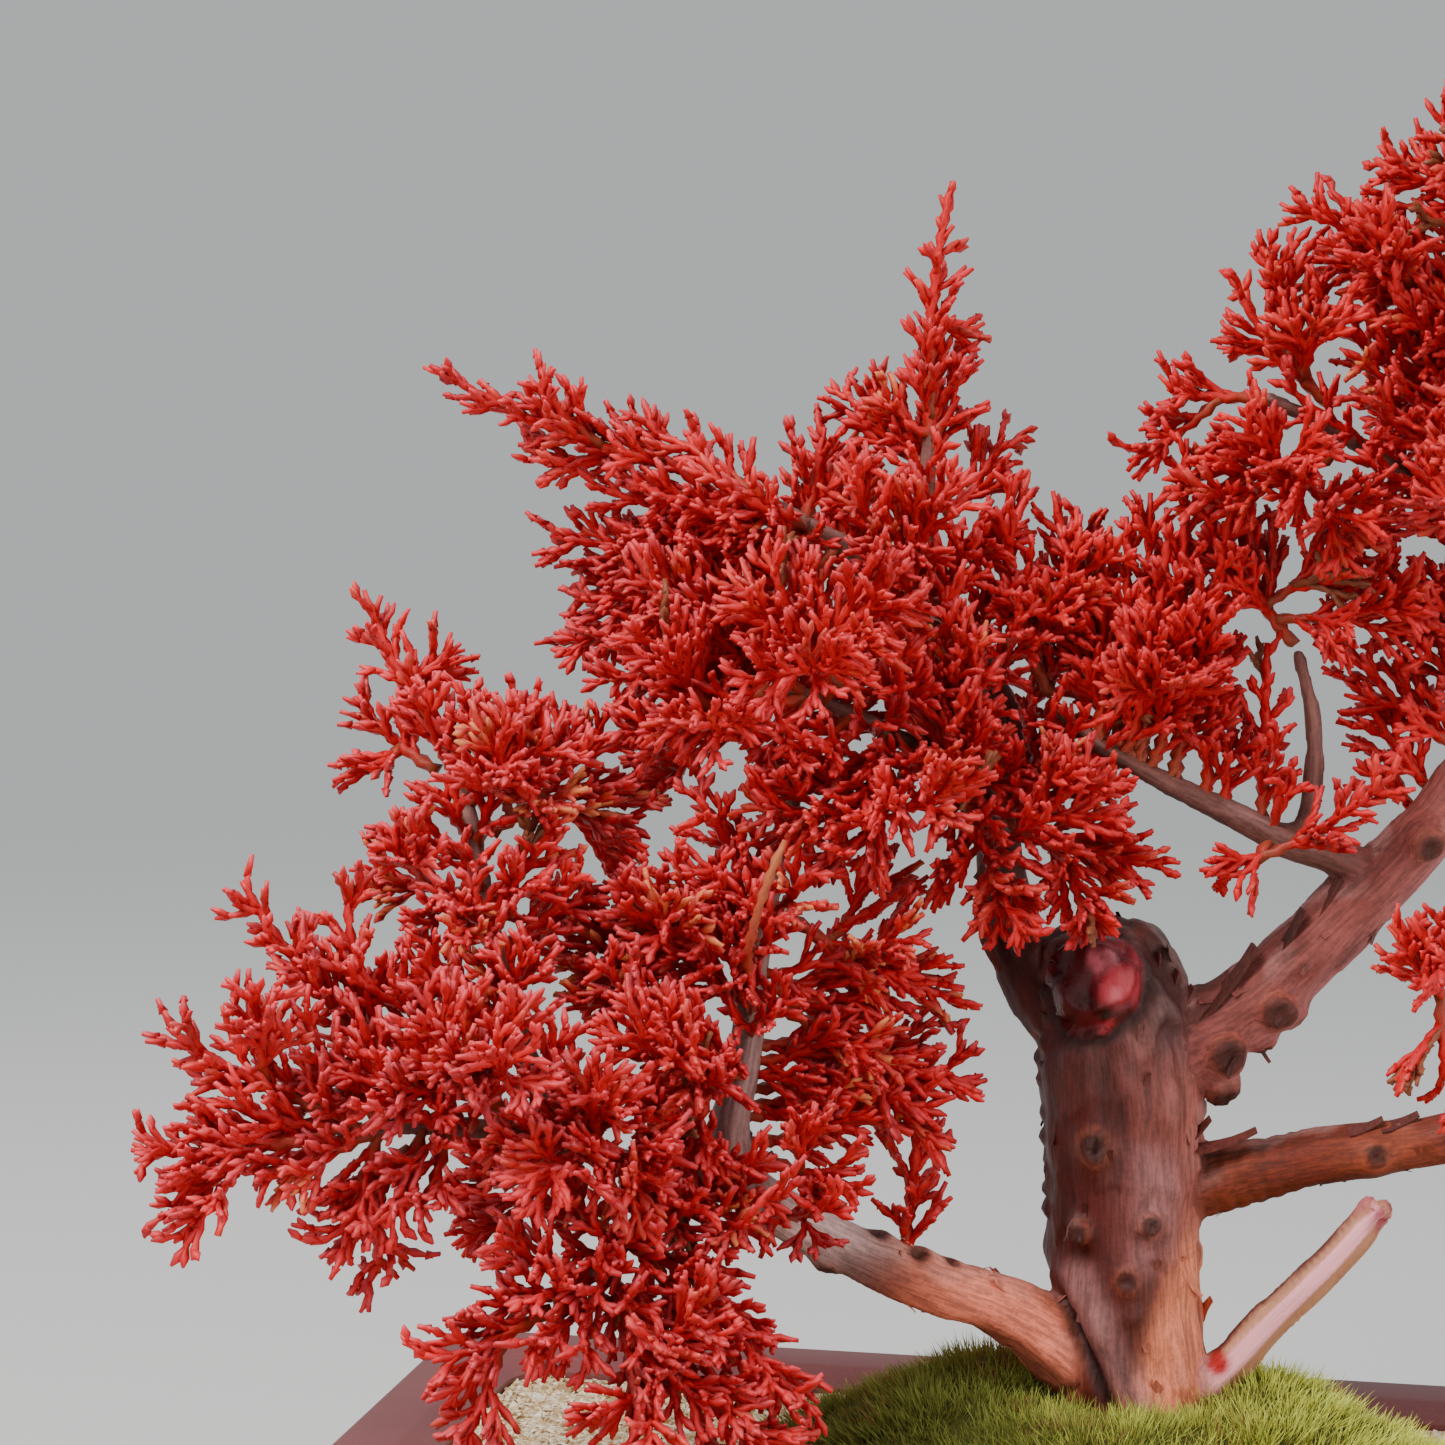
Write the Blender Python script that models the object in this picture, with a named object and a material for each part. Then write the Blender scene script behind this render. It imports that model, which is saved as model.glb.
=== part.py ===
"""A shimpaku juniper bonsai in its rectangular clay pot, as separate closed solids.

Metres, +Z up. The pot's long side lies along X and its front faces -Y.
Sizes below are in millimetres until a mesh is made.
"""
import math
import random

import bpy
import numpy as np
from mathutils import noise

# Driving sizes of the pot
POT_LENGTH = 192.0
POT_WIDTH = 112.0
POT_HEIGHT = 50.0
FOOT_HEIGHT = 5.0
CORNERS = ((1, 1), (-1, 1), (-1, -1), (1, -1))
CORNER_RADIUS = 11.0
CORNER_LEAST_RADIUS = 3.0
CORNER_STEPS = 3
LIP_FLAT = 8.5
LIP_BEVEL = 1.0
LIP_FACE = 7.0
LIP_OVERHANG = 5.5
LIP_UNDERSIDE = 1.5
CHAMFER_WIDTH = 4.5
CHAMFER_DEPTH = 2.0
WALL_DRAFT = 6.5
WALL_THICKNESS = 7.0
FLOOR_THICKNESS = 6.0
FOOT_LENGTH = 30.0
FOOT_BREADTH = 18.0
FOOT_BAND = 8.0
FOOT_SETBACK = 1.5
FOOT_CORNER_CUT = 4.0
WALL_FOOT_ROUND = 2.0
FLOOR_FILLET = 3.0
DRAIN_RADIUS = 7.0
DRAIN_OFFSET = 42.0
DRAIN_SIDES = 12
OVERRUN = 1.0
SCREEN_SIDE = 24.0
SCREEN_THICKNESS = 0.9
SCREEN_BAR = 1.8
SCREEN_SLOTS = 5

# Where the pot and the tree stand: the origin is under the middle of the whole thing
POT_CENTRE = (-6.7, -10.9)
TRUNK_IN_POT = (6.0, 18.7)
TREE_TURN = math.radians(12.3)

# Ground: depths below the rim's plane, and the moss mound's half sizes
SEAT_GAP = 0.3
SAND_DEPTH = 2.4
SAND_THICKNESS = 4.0
SAND_RELIEF = 0.9
MOSS_HALF_LENGTH = 43.0
MOSS_HALF_WIDTH = 27.0
MOSS_OFFSET = (-3.0, -6.0)
MOSS_EDGE_HEIGHT = 1.6
MOSS_RISE = 7.2
MOSS_RELIEF = 1.0
MOSS_FALL = 2.4
MOSS_SIDES = 28
MOSS_LEVELS = (1.0, 0.9, 0.76, 0.6, 0.44, 0.24)
MOSS_TUFTS_PER_MM = 0.28
# The moss outline's waves: how high, how many round it, and where the first one starts
MOSS_WAVES = ((0.07, 3, 0.6), (0.04, 7, 0.0))
SAND_LEVELS = (1.0, 0.87, 0.75, 0.62, 0.5, 0.36, 0.18)
SAND_RIPPLES_PER_MM = 0.13
SAND_FLAT_MARGIN = 0.15
# Hummocks in the moss: right, back from the trunk, radius and height
HUMMOCKS = (
    (-20.0, 7.0, 12.0, 5.0),
    (19.0, 6.0, 11.0, 5.5),
    (-29.0, -12.0, 10.0, 3.0),
    (27.0, -13.0, 10.0, 3.0),
    (2.0, -23.0, 11.0, 2.5),
)

# Each branch is a run of points: right, back and up from the trunk's foot, and the radius there.
# The first entry is the number of sides of its tube.
BRANCHES = {
    "trunk": (12, (
        (0.5, 1.0, -17.0, 7.5), (0.0, 0.0, -5.0, 11.6), (0.4, 0.0, 3.0, 11.2), (-0.4, 0.0, 14.0, 9.9),
        (-1.2, 0.0, 30.0, 9.9), (-1.6, 0.0, 44.0, 10.5), (-2.6, 0.0, 55.0, 10.0), (-4.6, -1.0, 64.0, 7.9),
        (-5.4, -1.6, 68.0, 5.6))),
    "low_left": (8, (
        (-1.0, 0.0, 8.0, 7.6), (-9.0, -2.0, 13.5, 5.2), (-17.0, -4.0, 19.0, 4.3), (-30.0, -8.0, 25.0, 3.8),
        (-40.0, -12.0, 30.5, 3.4), (-49.0, -16.0, 37.0, 3.1), (-52.0, -18.0, 45.0, 2.7),
        (-50.0, -17.0, 56.0, 2.3), (-49.0, -16.0, 67.0, 1.9), (-46.5, -14.0, 78.0, 1.6),
        (-44.0, -11.0, 88.0, 1.3))),
    "left_arm": (6, (
        (-49.0, -16.0, 38.0, 2.3), (-60.0, -22.0, 40.5, 2.1), (-70.0, -27.0, 46.0, 1.9),
        (-77.0, -28.0, 57.0, 1.7), (-81.0, -25.0, 71.0, 1.4), (-84.0, -18.0, 84.0, 1.2),
        (-87.0, -12.0, 93.0, 1.0))),
    "left_far": (5, (
        (-64.0, -24.0, 42.5, 1.8), (-76.0, -33.0, 48.0, 1.5), (-88.0, -40.0, 51.0, 1.3),
        (-99.0, -44.0, 51.0, 1.0))),
    "left_droop": (5, (
        (-57.0, -20.5, 40.0, 1.8), (-62.0, -29.0, 38.0, 1.5), (-67.0, -37.0, 33.5, 1.2),
        (-73.0, -42.0, 29.5, 1.0))),
    "upper_left": (8, (
        (-4.0, 0.0, 52.0, 6.4), (-12.0, 2.0, 60.0, 4.6), (-16.0, 4.0, 69.0, 3.6), (-17.0, 6.0, 79.0, 3.0),
        (-15.0, 8.0, 88.0, 2.6), (-18.0, 8.0, 98.0, 2.2), (-25.0, 6.0, 107.0, 1.9),
        (-33.0, 4.0, 114.0, 1.6), (-43.0, 3.0, 120.0, 1.3), (-52.0, 2.0, 125.5, 1.0))),
    "shoot": (5, (
        (-20.5, 7.4, 101.5, 1.6), (-25.5, 4.0, 112.0, 1.4), (-27.0, 2.0, 124.0, 1.2),
        (-26.5, 2.0, 133.0, 1.0))),
    "centre_front": (5, (
        (-17.0, 5.0, 80.0, 2.1), (-21.0, -2.0, 86.0, 1.8), (-28.0, -9.0, 92.0, 1.5),
        (-37.0, -13.0, 97.0, 1.2), (-46.0, -14.0, 101.0, 1.0))),
    "back_left": (5, (
        (-16.5, 6.0, 80.0, 2.0), (-18.0, 16.0, 86.0, 1.7), (-24.0, 27.0, 92.0, 1.4),
        (-32.0, 36.0, 96.0, 1.0))),
    "leader": (8, (
        (1.0, 0.0, 50.0, 7.4), (7.0, 0.0, 54.0, 5.8), (14.0, 0.0, 58.0, 5.1), (21.0, 0.0, 64.0, 4.8),
        (27.5, 0.0, 70.5, 4.6), (34.0, 0.0, 77.0, 4.4), (41.0, 1.0, 85.5, 3.9), (47.0, 3.0, 96.0, 3.3),
        (50.5, 5.0, 109.0, 2.8), (50.0, 5.0, 123.0, 2.3), (47.5, 4.0, 137.0, 1.9),
        (48.0, 3.0, 150.0, 1.5), (51.0, 2.0, 163.0, 1.0))),
    "leader_side": (6, (
        (31.0, 0.0, 75.0, 3.0), (24.0, -2.0, 78.0, 2.4), (18.0, -3.0, 80.0, 2.1), (10.0, -3.0, 84.0, 1.8),
        (1.0, -4.0, 88.5, 1.5), (-6.0, -4.0, 92.5, 1.2), (-11.0, -3.0, 97.0, 1.0))),
    "grey_twig": (5, (
        (20.5, -2.4, 79.0, 1.7), (22.0, -2.0, 86.0, 1.4), (22.0, -2.0, 95.0, 1.2), (20.0, -1.0, 104.0, 1.0))),
    "crown_left": (5, (
        (50.2, 5.0, 112.0, 2.0), (42.0, 2.0, 119.0, 1.7), (33.0, 0.0, 126.0, 1.4), (24.0, -1.0, 132.0, 1.2),
        (15.0, -1.0, 136.0, 1.0))),
    "crown_right": (5, (
        (50.2, 5.0, 118.0, 2.0), (60.0, 6.0, 126.0, 1.6), (71.0, 4.0, 132.0, 1.3), (82.0, 2.0, 136.0, 1.0))),
    "crown_front": (5, (
        (50.0, 4.5, 107.0, 2.1), (50.0, -6.0, 114.0, 1.7), (50.0, -18.0, 119.0, 1.4),
        (50.0, -29.0, 122.0, 1.0))),
    "crown_back": (5, (
        (50.2, 5.5, 114.0, 2.0), (52.0, 16.0, 121.0, 1.6), (54.0, 27.0, 126.0, 1.0))),
    "mid_right": (8, (
        (2.0, 0.0, 33.0, 6.4), (9.0, 0.0, 35.0, 4.8), (21.0, -2.0, 38.0, 3.9), (34.0, -4.0, 40.5, 3.5),
        (43.0, -6.0, 43.0, 3.2), (54.0, -8.0, 47.0, 2.8), (66.0, -7.0, 51.0, 2.3), (77.0, -5.0, 56.0, 1.7),
        (86.0, -4.0, 62.0, 1.0))),
    "right_front": (5, (
        (41.0, -5.5, 43.0, 2.2), (41.0, -18.0, 49.0, 1.8), (39.0, -29.0, 56.0, 1.4),
        (35.0, -37.0, 64.0, 1.0))),
    "right_back": (5, (
        (56.0, -7.5, 48.0, 2.1), (62.0, 6.0, 54.0, 1.7), (68.0, 18.0, 60.0, 1.4), (73.0, 28.0, 66.0, 1.0))),
    "dead_stub": (7, (
        (5.0, -1.0, 5.0, 4.2), (11.0, -3.0, 10.0, 3.0), (17.0, -4.5, 17.0, 2.7), (24.0, -6.5, 25.0, 2.5),
        (31.0, -8.0, 33.5, 2.3))),
}
UNDERGROUND = ("trunk", "low_left", "dead_stub")
TRUNK_FLUTE = 0.07
FLUTE_RIBS = 2.2
FLUTE_TWIST = 0.05
FLUTE_GAIN = 1.6
# A slanting direction along which no branch runs, from which rings are turned
SLANT = (0.31, 0.83, 0.46)
TRUNK_BRANCHES = ("trunk", "low_left", "upper_left", "leader", "mid_right", "dead_stub")

# Knots and cut stubs: where they leave the wood, the way they point, and their radius and length.
# The last one is the broad scar of a sawn branch.
KNOTS = (
    ((-5.0, -7.5, 41.0), (-0.25, -1.0, 0.1), 2.6, 3.0),
    ((-1.5, -7.5, 22.0), (-0.1, -1.0, 0.1), 1.7, 3.2),
    ((1.0, -8.0, 31.0), (0.2, -1.0, 0.2), 1.5, 3.0),
    ((-7.0, -7.0, 30.0), (-0.4, -1.0, 0.1), 1.3, 2.6),
    ((11.0, -4.0, 53.0), (0.2, -1.0, -0.2), 2.4, 3.0),
    ((17.5, -3.5, 58.5), (0.1, -1.0, -0.2), 2.2, 3.0),
    ((11.0, -1.0, 48.5), (0.3, -0.6, -1.0), 1.7, 2.6),
    ((20.0, -1.0, 58.5), (0.3, -0.3, -1.0), 1.4, 2.8),
    ((16.0, -1.0, 54.5), (0.2, -0.4, -1.0), 1.2, 2.6),
    ((-9.0, 0.0, 53.5), (-1.0, -0.2, 0.2), 1.3, 2.8),
    ((-9.0, 0.0, 49.5), (-1.0, -0.1, 0.1), 1.1, 2.8),
    ((-9.0, 1.0, 39.5), (-1.0, 0.1, 0.0), 1.1, 2.6),
    ((4.0, 7.5, 26.0), (0.3, 1.0, 0.2), 2.4, 3.6),
    ((30.0, -5.0, 39.5), (0.1, -1.0, 0.2), 1.6, 3.2),
    ((-33.0, -8.5, 28.0), (-0.1, -0.5, 1.0), 1.7, 3.0),
    ((-28.0, -8.0, 25.5), (0.0, -0.8, 1.0), 1.5, 3.2),
    ((-24.0, -6.0, 24.0), (0.1, -0.6, 1.0), 1.2, 2.6),
    ((-40.0, -12.0, 28.5), (0.0, -0.8, -1.0), 1.5, 3.0),
    ((36.0, -3.0, 80.0), (0.3, -1.0, -0.4), 1.9, 3.0),
    ((-5.6, -6.6, 61.0), (-0.1, -1.0, 0.1), 4.6, 3.2),
)
KNOT_ROOT = 2.0
KNOT_SIDES = 5
# How far along a knot each ring stands, as shares of its length, and how wide it is there
KNOT_SHAPE = ((0.6, 1.0), (1.0, 0.55))
KNOT_ROOT_WIDTH = 1.15

# Foliage. Each leafy stem grows on a branch, at a place from 0 to 1 along it, and forks to its
# tips: right, back and up from the trunk's foot. Its spread is how far its side cords reach.
LEAFY_STEMS = (
    ("plume_peak", "upper_left", 1.0, 8.0, ((-90, 0, 140), (-77, -2, 138), (-78, 5, 129))),
    ("plume_crest", "upper_left", 0.8, 9.0, ((-57, -5, 128), (-67, 4, 132))),
    ("plume_under", "upper_left", 0.84, 11.0, ((-75, 7, 118), (-73, 11, 103), (-62, 12, 112))),
    ("plume_front", "upper_left", 0.74, 13.0, ((-67, -10, 101), (-62, -9, 113), (-53, -13, 104))),
    ("crest_left", "upper_left", 0.64, 10.0, ((-44, 10, 123), (-38, 16, 128), (-48, 16, 114))),
    ("tall_shoot", "shoot", 1.0, 4.5, ((-24, 2, 163), (-20, 3, 144))),
    ("crest_right", "shoot", 0.5, 9.0, ((-17, 6, 131), (-35, 5, 138))),
    ("crest_front", "upper_left", 0.6, 11.0, ((-37, -12, 126), (-26, -12, 124))),
    ("centre_right", "upper_left", 0.45, 11.0, ((-8, 5, 117), (-12, -6, 109), (-2, 9, 105))),
    ("centre_left", "centre_front", 1.0, 12.0, ((-64, -16, 95), (-61, -18, 107), (-54, -26, 96))),
    ("centre_up", "centre_front", 0.72, 13.0, ((-47, -18, 116), (-33, -22, 113), (-42, -27, 104))),
    ("centre_low", "centre_front", 0.5, 12.0, ((-38, -24, 81), (-27, -26, 88), (-47, -23, 86))),
    ("skirt_right", "centre_front", 0.1, 10.0, ((0, -10, 78), (-7, -17, 72), (-4, -5, 88))),
    ("skirt_mid", "centre_front", 0.24, 12.0, ((-18, -20, 74), (-8, -16, 90), (-26, -17, 98))),
    ("fan_high", "low_left", 0.86, 10.0, ((-24, -11, 61), (-31, -20, 70), (-34, -6, 76))),
    ("fan_low", "low_left", 0.76, 10.0, ((-21, -11, 49), (-26, -14, 43), (-35, -20, 56))),
    ("elbow_right", "low_left", 0.58, 8.0, ((-37, -24, 40), (-43, -27, 48))),
    ("elbow_front", "low_left", 0.67, 12.0, ((-55, -37, 55), (-58, -36, 44), (-64, -40, 62))),
    ("stem_left", "low_left", 0.83, 12.0, ((-70, -21, 71), (-68, -26, 62), (-61, -30, 74))),
    ("stem_high", "low_left", 1.0, 12.0, ((-52, -8, 107), (-60, -7, 90), (-38, -4, 104))),
    ("left_peak", "left_arm", 1.0, 8.0, ((-98, -6, 112), (-87, -8, 105))),
    ("left_mid", "left_arm", 0.9, 9.0, ((-99, -10, 99), (-96, -16, 90))),
    ("left_low", "left_arm", 0.72, 10.0, ((-96, -18, 79), (-91, -30, 84), (-83, -36, 73))),
    ("left_inner", "left_arm", 0.8, 12.0, ((-68, -11, 95), (-66, -13, 84), (-74, -22, 93), (-80, -30, 96))),
    ("far_high", "left_far", 0.55, 9.0, ((-110, -38, 80), (-104, -42, 73), (-98, -33, 80))),
    ("far_mid", "left_far", 0.86, 10.0, ((-118, -46, 64), (-107, -50, 68))),
    ("far_tip", "left_far", 1.0, 10.0, ((-122, -49, 50), (-114, -53, 43))),
    ("far_low", "left_far", 0.66, 10.0, ((-100, -45, 38), (-94, -40, 33))),
    ("near_high", "left_far", 0.36, 13.0, ((-87, -51, 67), (-77, -55, 62), (-94, -48, 58))),
    ("near_low", "left_far", 0.12, 12.0, ((-68, -48, 57), (-74, -52, 48), (-62, -46, 46))),
    ("droop_left", "left_droop", 1.0, 9.0, ((-87, -50, 25), (-84, -52, 14))),
    ("droop_right", "left_droop", 0.8, 11.0, ((-45, -50, 13), (-65, -54, 14), (-56, -50, 30))),
    ("droop_back", "left_arm", 0.3, 12.0, ((-84, -22, 36), (-78, -12, 44))),
    ("crown_tip", "leader", 1.0, 11.0, ((55, 2, 191), (48, 0, 185), (62, 4, 182))),
    ("crown_high", "leader", 0.93, 9.0, ((37, -1, 172), (31, 3, 165), (41, -11, 166))),
    ("crown_shoulder", "leader", 0.86, 9.0, ((21, 0, 161), (28, -10, 157), (26, 11, 154))),
    ("crown_step", "crown_left", 0.6, 9.0, ((12, 0, 149), (19, 5, 154), (21, -6, 145))),
    ("crown_edge", "crown_left", 1.0, 9.0, ((3, -1, 137), (-2, -3, 128))),
    ("crown_layer", "crown_left", 0.66, 13.0, ((6, -11, 124), (15, -15, 130), (23, -16, 122))),
    ("side_tip", "leader_side", 1.0, 9.0, ((-16, 0, 125), (-4, -2, 117))),
    ("side_mid", "leader_side", 0.72, 12.0, ((5, -5, 110), (0, -12, 100))),
    ("grey_top", "grey_twig", 1.0, 12.0, ((11, -3, 118), (27, -5, 121), (33, -8, 111))),
    ("grey_low", "grey_twig", 0.3, 7.0, ((12, -9, 76), (31, -9, 89))),
    ("crown_fore", "crown_front", 1.0, 14.0, ((49, -50, 136), (60, -46, 124), (38, -42, 120))),
    ("crown_face", "crown_front", 0.55, 13.0, ((37, -26, 138), (62, -26, 142), (50, -22, 150), (35, -14, 124))),
    ("crown_right_tip", "crown_right", 1.0, 14.0, ((104, 3, 144), (99, -6, 130), (94, 10, 136))),
    ("crown_right_mid", "crown_right", 0.6, 14.0, ((82, -15, 150), (84, 15, 146), (76, -2, 154))),
    ("crown_right_high", "leader", 0.8, 14.0, ((72, 0, 167), (66, 13, 172), (60, -9, 166))),
    ("crown_rear", "crown_back", 1.0, 14.0, ((58, 48, 140), (72, 38, 128), (40, 42, 134))),
    ("right_tip", "mid_right", 1.0, 13.0, ((112, -4, 78), (108, -14, 66), (104, 10, 72))),
    ("right_fore", "right_front", 1.0, 11.0, ((26, -47, 75), (34, -52, 80), (34, -43, 53))),
    ("right_rear", "right_back", 1.0, 13.0, ((74, 46, 78), (90, 36, 75), (64, 40, 86))),
    ("rear_left", "back_left", 1.0, 14.0, ((-48, 46, 100), (-30, 50, 106), (-16, 44, 98))),
)
TINY = 1e-9
STEM_BASE_RADIUS = 1.2
STEM_TIP_RADIUS = 0.75
FORK_RADIUS = 1.0
CORD_BASE_RADIUS = 0.62
CORD_TIP_RADIUS = 0.72
STEM_SIDES = 4
CORD_SIDES = 3
STEM_SPANS = 3
FORK_SPANS = 2
# Forks leave the stem at these shares of its length
FORKS_AT = (0.4, 0.28, 0.16)
CORD_PITCH = 6.8
CORD_ANGLE = math.radians(42)
FEWEST_CORDS = 3
# Where the first side cord stands on a stem and on a fork, and the last one on both
CORDS_FROM = (0.2, 0.12)
CORDS_TO = 0.97
# A side cord's length in spreads at the foot of its stem, and how much of it is lost at the tip
CORD_REACH = 1.15
CORD_FALL = 0.75
CORD_LUCK = (0.85, 1.15)
CORD_SWAY = 0.75
CORD_TURN = 2.4
CORD_SUNK = 0.8
STEM_LEVEL = (0.2, 0.1, 1.0)
CORD_LEVEL = (0.1, -0.7, 0.7)
STEM_SAG = 0.1
ROOT_LENGTH = 2.2
ROOT_SEARCH = 9.0
ROOT_STEP = 0.1
HEEL_POINTS = 8
HEEL_EASE = 0.15
CLEARANCE = 0.35
LOWEST_LEAF = 5.0
BEND_STEPS = (0.0, 0.1, 0.2, 0.32, 0.45)
BEND_WAYS = 10
# What a side cord tries until it is clear: a share of its length, and a turn about its stem
CORD_TRIES = ((1.0, 0.0), (0.85, 0.6), (0.85, -0.6), (0.65, 1.2), (0.65, -1.2), (0.5, 0.0))

# Colours, as sRGB, with roughness
FINISHES = {
    "red_foliage": ("#B3241E", 0.55),
    "juniper_bark": ("#6E3A30", 0.7),
    "pot_clay": ("#6A4043", 0.38),
    "green_moss": ("#7A7A2E", 0.9),
    "beige_sand": ("#CBB394", 0.85),
    "potting_grit": ("#5A4632", 0.95),
    "screen_plastic": ("#2A2A2A", 0.5),
}


def linear(hex_colour):
    """A hex sRGB colour as linear red, green, blue and alpha."""
    channels = [int(hex_colour[i:i + 2], 16) / 255 for i in (1, 3, 5)]
    return [c / 12.92 if c <= 0.04045 else ((c + 0.055) / 1.055) ** 2.4 for c in channels] + [1.0]


def finish(name):
    """The Principled material of that name, made once."""
    if name in bpy.data.materials:
        return bpy.data.materials[name]
    colour, roughness = FINISHES[name]
    material = bpy.data.materials.new(name)
    material.use_nodes = True
    shader = material.node_tree.nodes["Principled BSDF"]
    shader.inputs["Base Color"].default_value = linear(colour)
    shader.inputs["Roughness"].default_value = roughness
    shader.inputs["Metallic"].default_value = 0.0
    return material


def in_pot(points):
    """Points given from the pot's base centre, in mm, as metres in the part's frame."""
    return (np.asarray(points, float) + (POT_CENTRE[0], POT_CENTRE[1], 0.0)) / 1000


def on_tree(points):
    """Points given right, back and up from the trunk's foot, in mm, as metres in the part's frame."""
    p = np.asarray(points, float)
    c, s = math.cos(TREE_TURN), math.sin(TREE_TURN)
    turned = np.stack((p[:, 0] * c - p[:, 1] * s, p[:, 0] * s + p[:, 1] * c, p[:, 2]), axis=1)
    return in_pot(turned + (TRUNK_IN_POT[0], TRUNK_IN_POT[1], POT_HEIGHT))


def solid(name, points, faces, material):
    """An object whose mesh has these points, in metres, and faces."""
    mesh = bpy.data.meshes.new(name)
    mesh.from_pydata([tuple(p) for p in points], [], faces)
    mesh.materials.append(finish(material))
    item = bpy.data.objects.new(name, mesh)
    bpy.context.scene.collection.objects.link(item)
    return item


def combine(item, others, operation, solver="EXACT"):
    """Apply one Boolean with a collection of other solids, which are then removed."""
    group = bpy.data.collections.new(item.name + "_others")
    bpy.context.scene.collection.children.link(group)
    for other in others:
        bpy.context.scene.collection.objects.unlink(other)
        group.objects.link(other)
    boolean = item.modifiers.new("combine", "BOOLEAN")
    boolean.operation = operation
    boolean.operand_type = "COLLECTION"
    boolean.collection = group
    boolean.solver = solver
    with bpy.context.temp_override(object=item, active_object=item):
        bpy.ops.object.modifier_apply(modifier=boolean.name)
    for other in others:
        bpy.data.objects.remove(other)
    bpy.data.collections.remove(group)
    return item


def loft(rings, closed_ends=True):
    """Faces that join rings of equal count, in order, with an end face on the first and last."""
    count = len(rings[0])
    faces = []
    for k in range(len(rings) - 1):
        low, high = k * count, (k + 1) * count
        faces += [(low + i, low + (i + 1) % count, high + (i + 1) % count, high + i) for i in range(count)]
    if closed_ends:
        last = (len(rings) - 1) * count
        faces.append(tuple(reversed(range(count))))
        faces.append(tuple(range(last, last + count)))
    return np.concatenate(rings), faces


def rounded_ring(inset, height):
    """One level of the pot: a rectangle with round corners, this far inside the rim."""
    half_x, half_y = POT_LENGTH / 2 - inset, POT_WIDTH / 2 - inset
    radius = max(CORNER_RADIUS - inset / 2, CORNER_LEAST_RADIUS)
    ring = []
    for quarter, (sx, sy) in enumerate(CORNERS):
        for step in range(CORNER_STEPS + 1):
            angle = (quarter + step / CORNER_STEPS) * math.pi / 2
            ring.append((sx * (half_x - radius) + radius * math.cos(angle),
                         sy * (half_y - radius) + radius * math.sin(angle), height))
    return np.array(ring)


def outer_inset(height):
    """How far the pot's outer wall lies inside the rim at a height."""
    top = POT_HEIGHT - LIP_FACE - LIP_UNDERSIDE
    share = (top - height) / (top - FOOT_HEIGHT)
    return LIP_OVERHANG + WALL_DRAFT * share


def inner_inset(height):
    """How far the pot's inner wall lies inside the rim at a height."""
    return max(LIP_FLAT + CHAMFER_WIDTH, outer_inset(height) + WALL_THICKNESS)


def box(name, low, high, material):
    """A plain box between two corners given from the pot's base centre."""
    (x0, y0, z0), (x1, y1, z1) = low, high
    rings = [np.array([(x0, y0, z), (x1, y0, z), (x1, y1, z), (x0, y1, z)]) for z in (z0, z1)]
    points, faces = loft(rings)
    return solid(name, in_pot(points), faces, material)


def drain_cutter(name, centre_x):
    """A plain upright cylinder through the pot's floor, which cuts a drain hole."""
    angles = [2 * math.pi * k / DRAIN_SIDES for k in range(DRAIN_SIDES)]
    flat = [(centre_x + DRAIN_RADIUS * math.cos(a), DRAIN_RADIUS * math.sin(a)) for a in angles]
    heights = (FOOT_HEIGHT - OVERRUN, FOOT_HEIGHT + FLOOR_THICKNESS + OVERRUN)
    points, faces = loft([np.array([(x, y, z) for x, y in flat]) for z in heights])
    return solid(name, in_pot(points), faces, "pot_clay")


def foot(name, sx, sy):
    """One corner foot, an angle bar that follows the pot's corner."""
    inset = outer_inset(FOOT_HEIGHT) + FOOT_SETBACK
    x, y = POT_LENGTH / 2 - inset, POT_WIDTH / 2 - inset
    outline = [(x - FOOT_CORNER_CUT, y), (x - FOOT_LENGTH, y), (x - FOOT_LENGTH, y - FOOT_BAND),
               (x - FOOT_BAND, y - FOOT_BAND), (x - FOOT_BAND, y - FOOT_BREADTH),
               (x, y - FOOT_BREADTH), (x, y - FOOT_CORNER_CUT)]
    if sx * sy < 0:
        outline.reverse()
    heights = (0.0, FOOT_HEIGHT + OVERRUN)
    points, faces = loft([np.array([(sx * px, sy * py, z) for px, py in outline]) for z in heights])
    return solid(name, in_pot(points), faces, "pot_clay")


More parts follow.
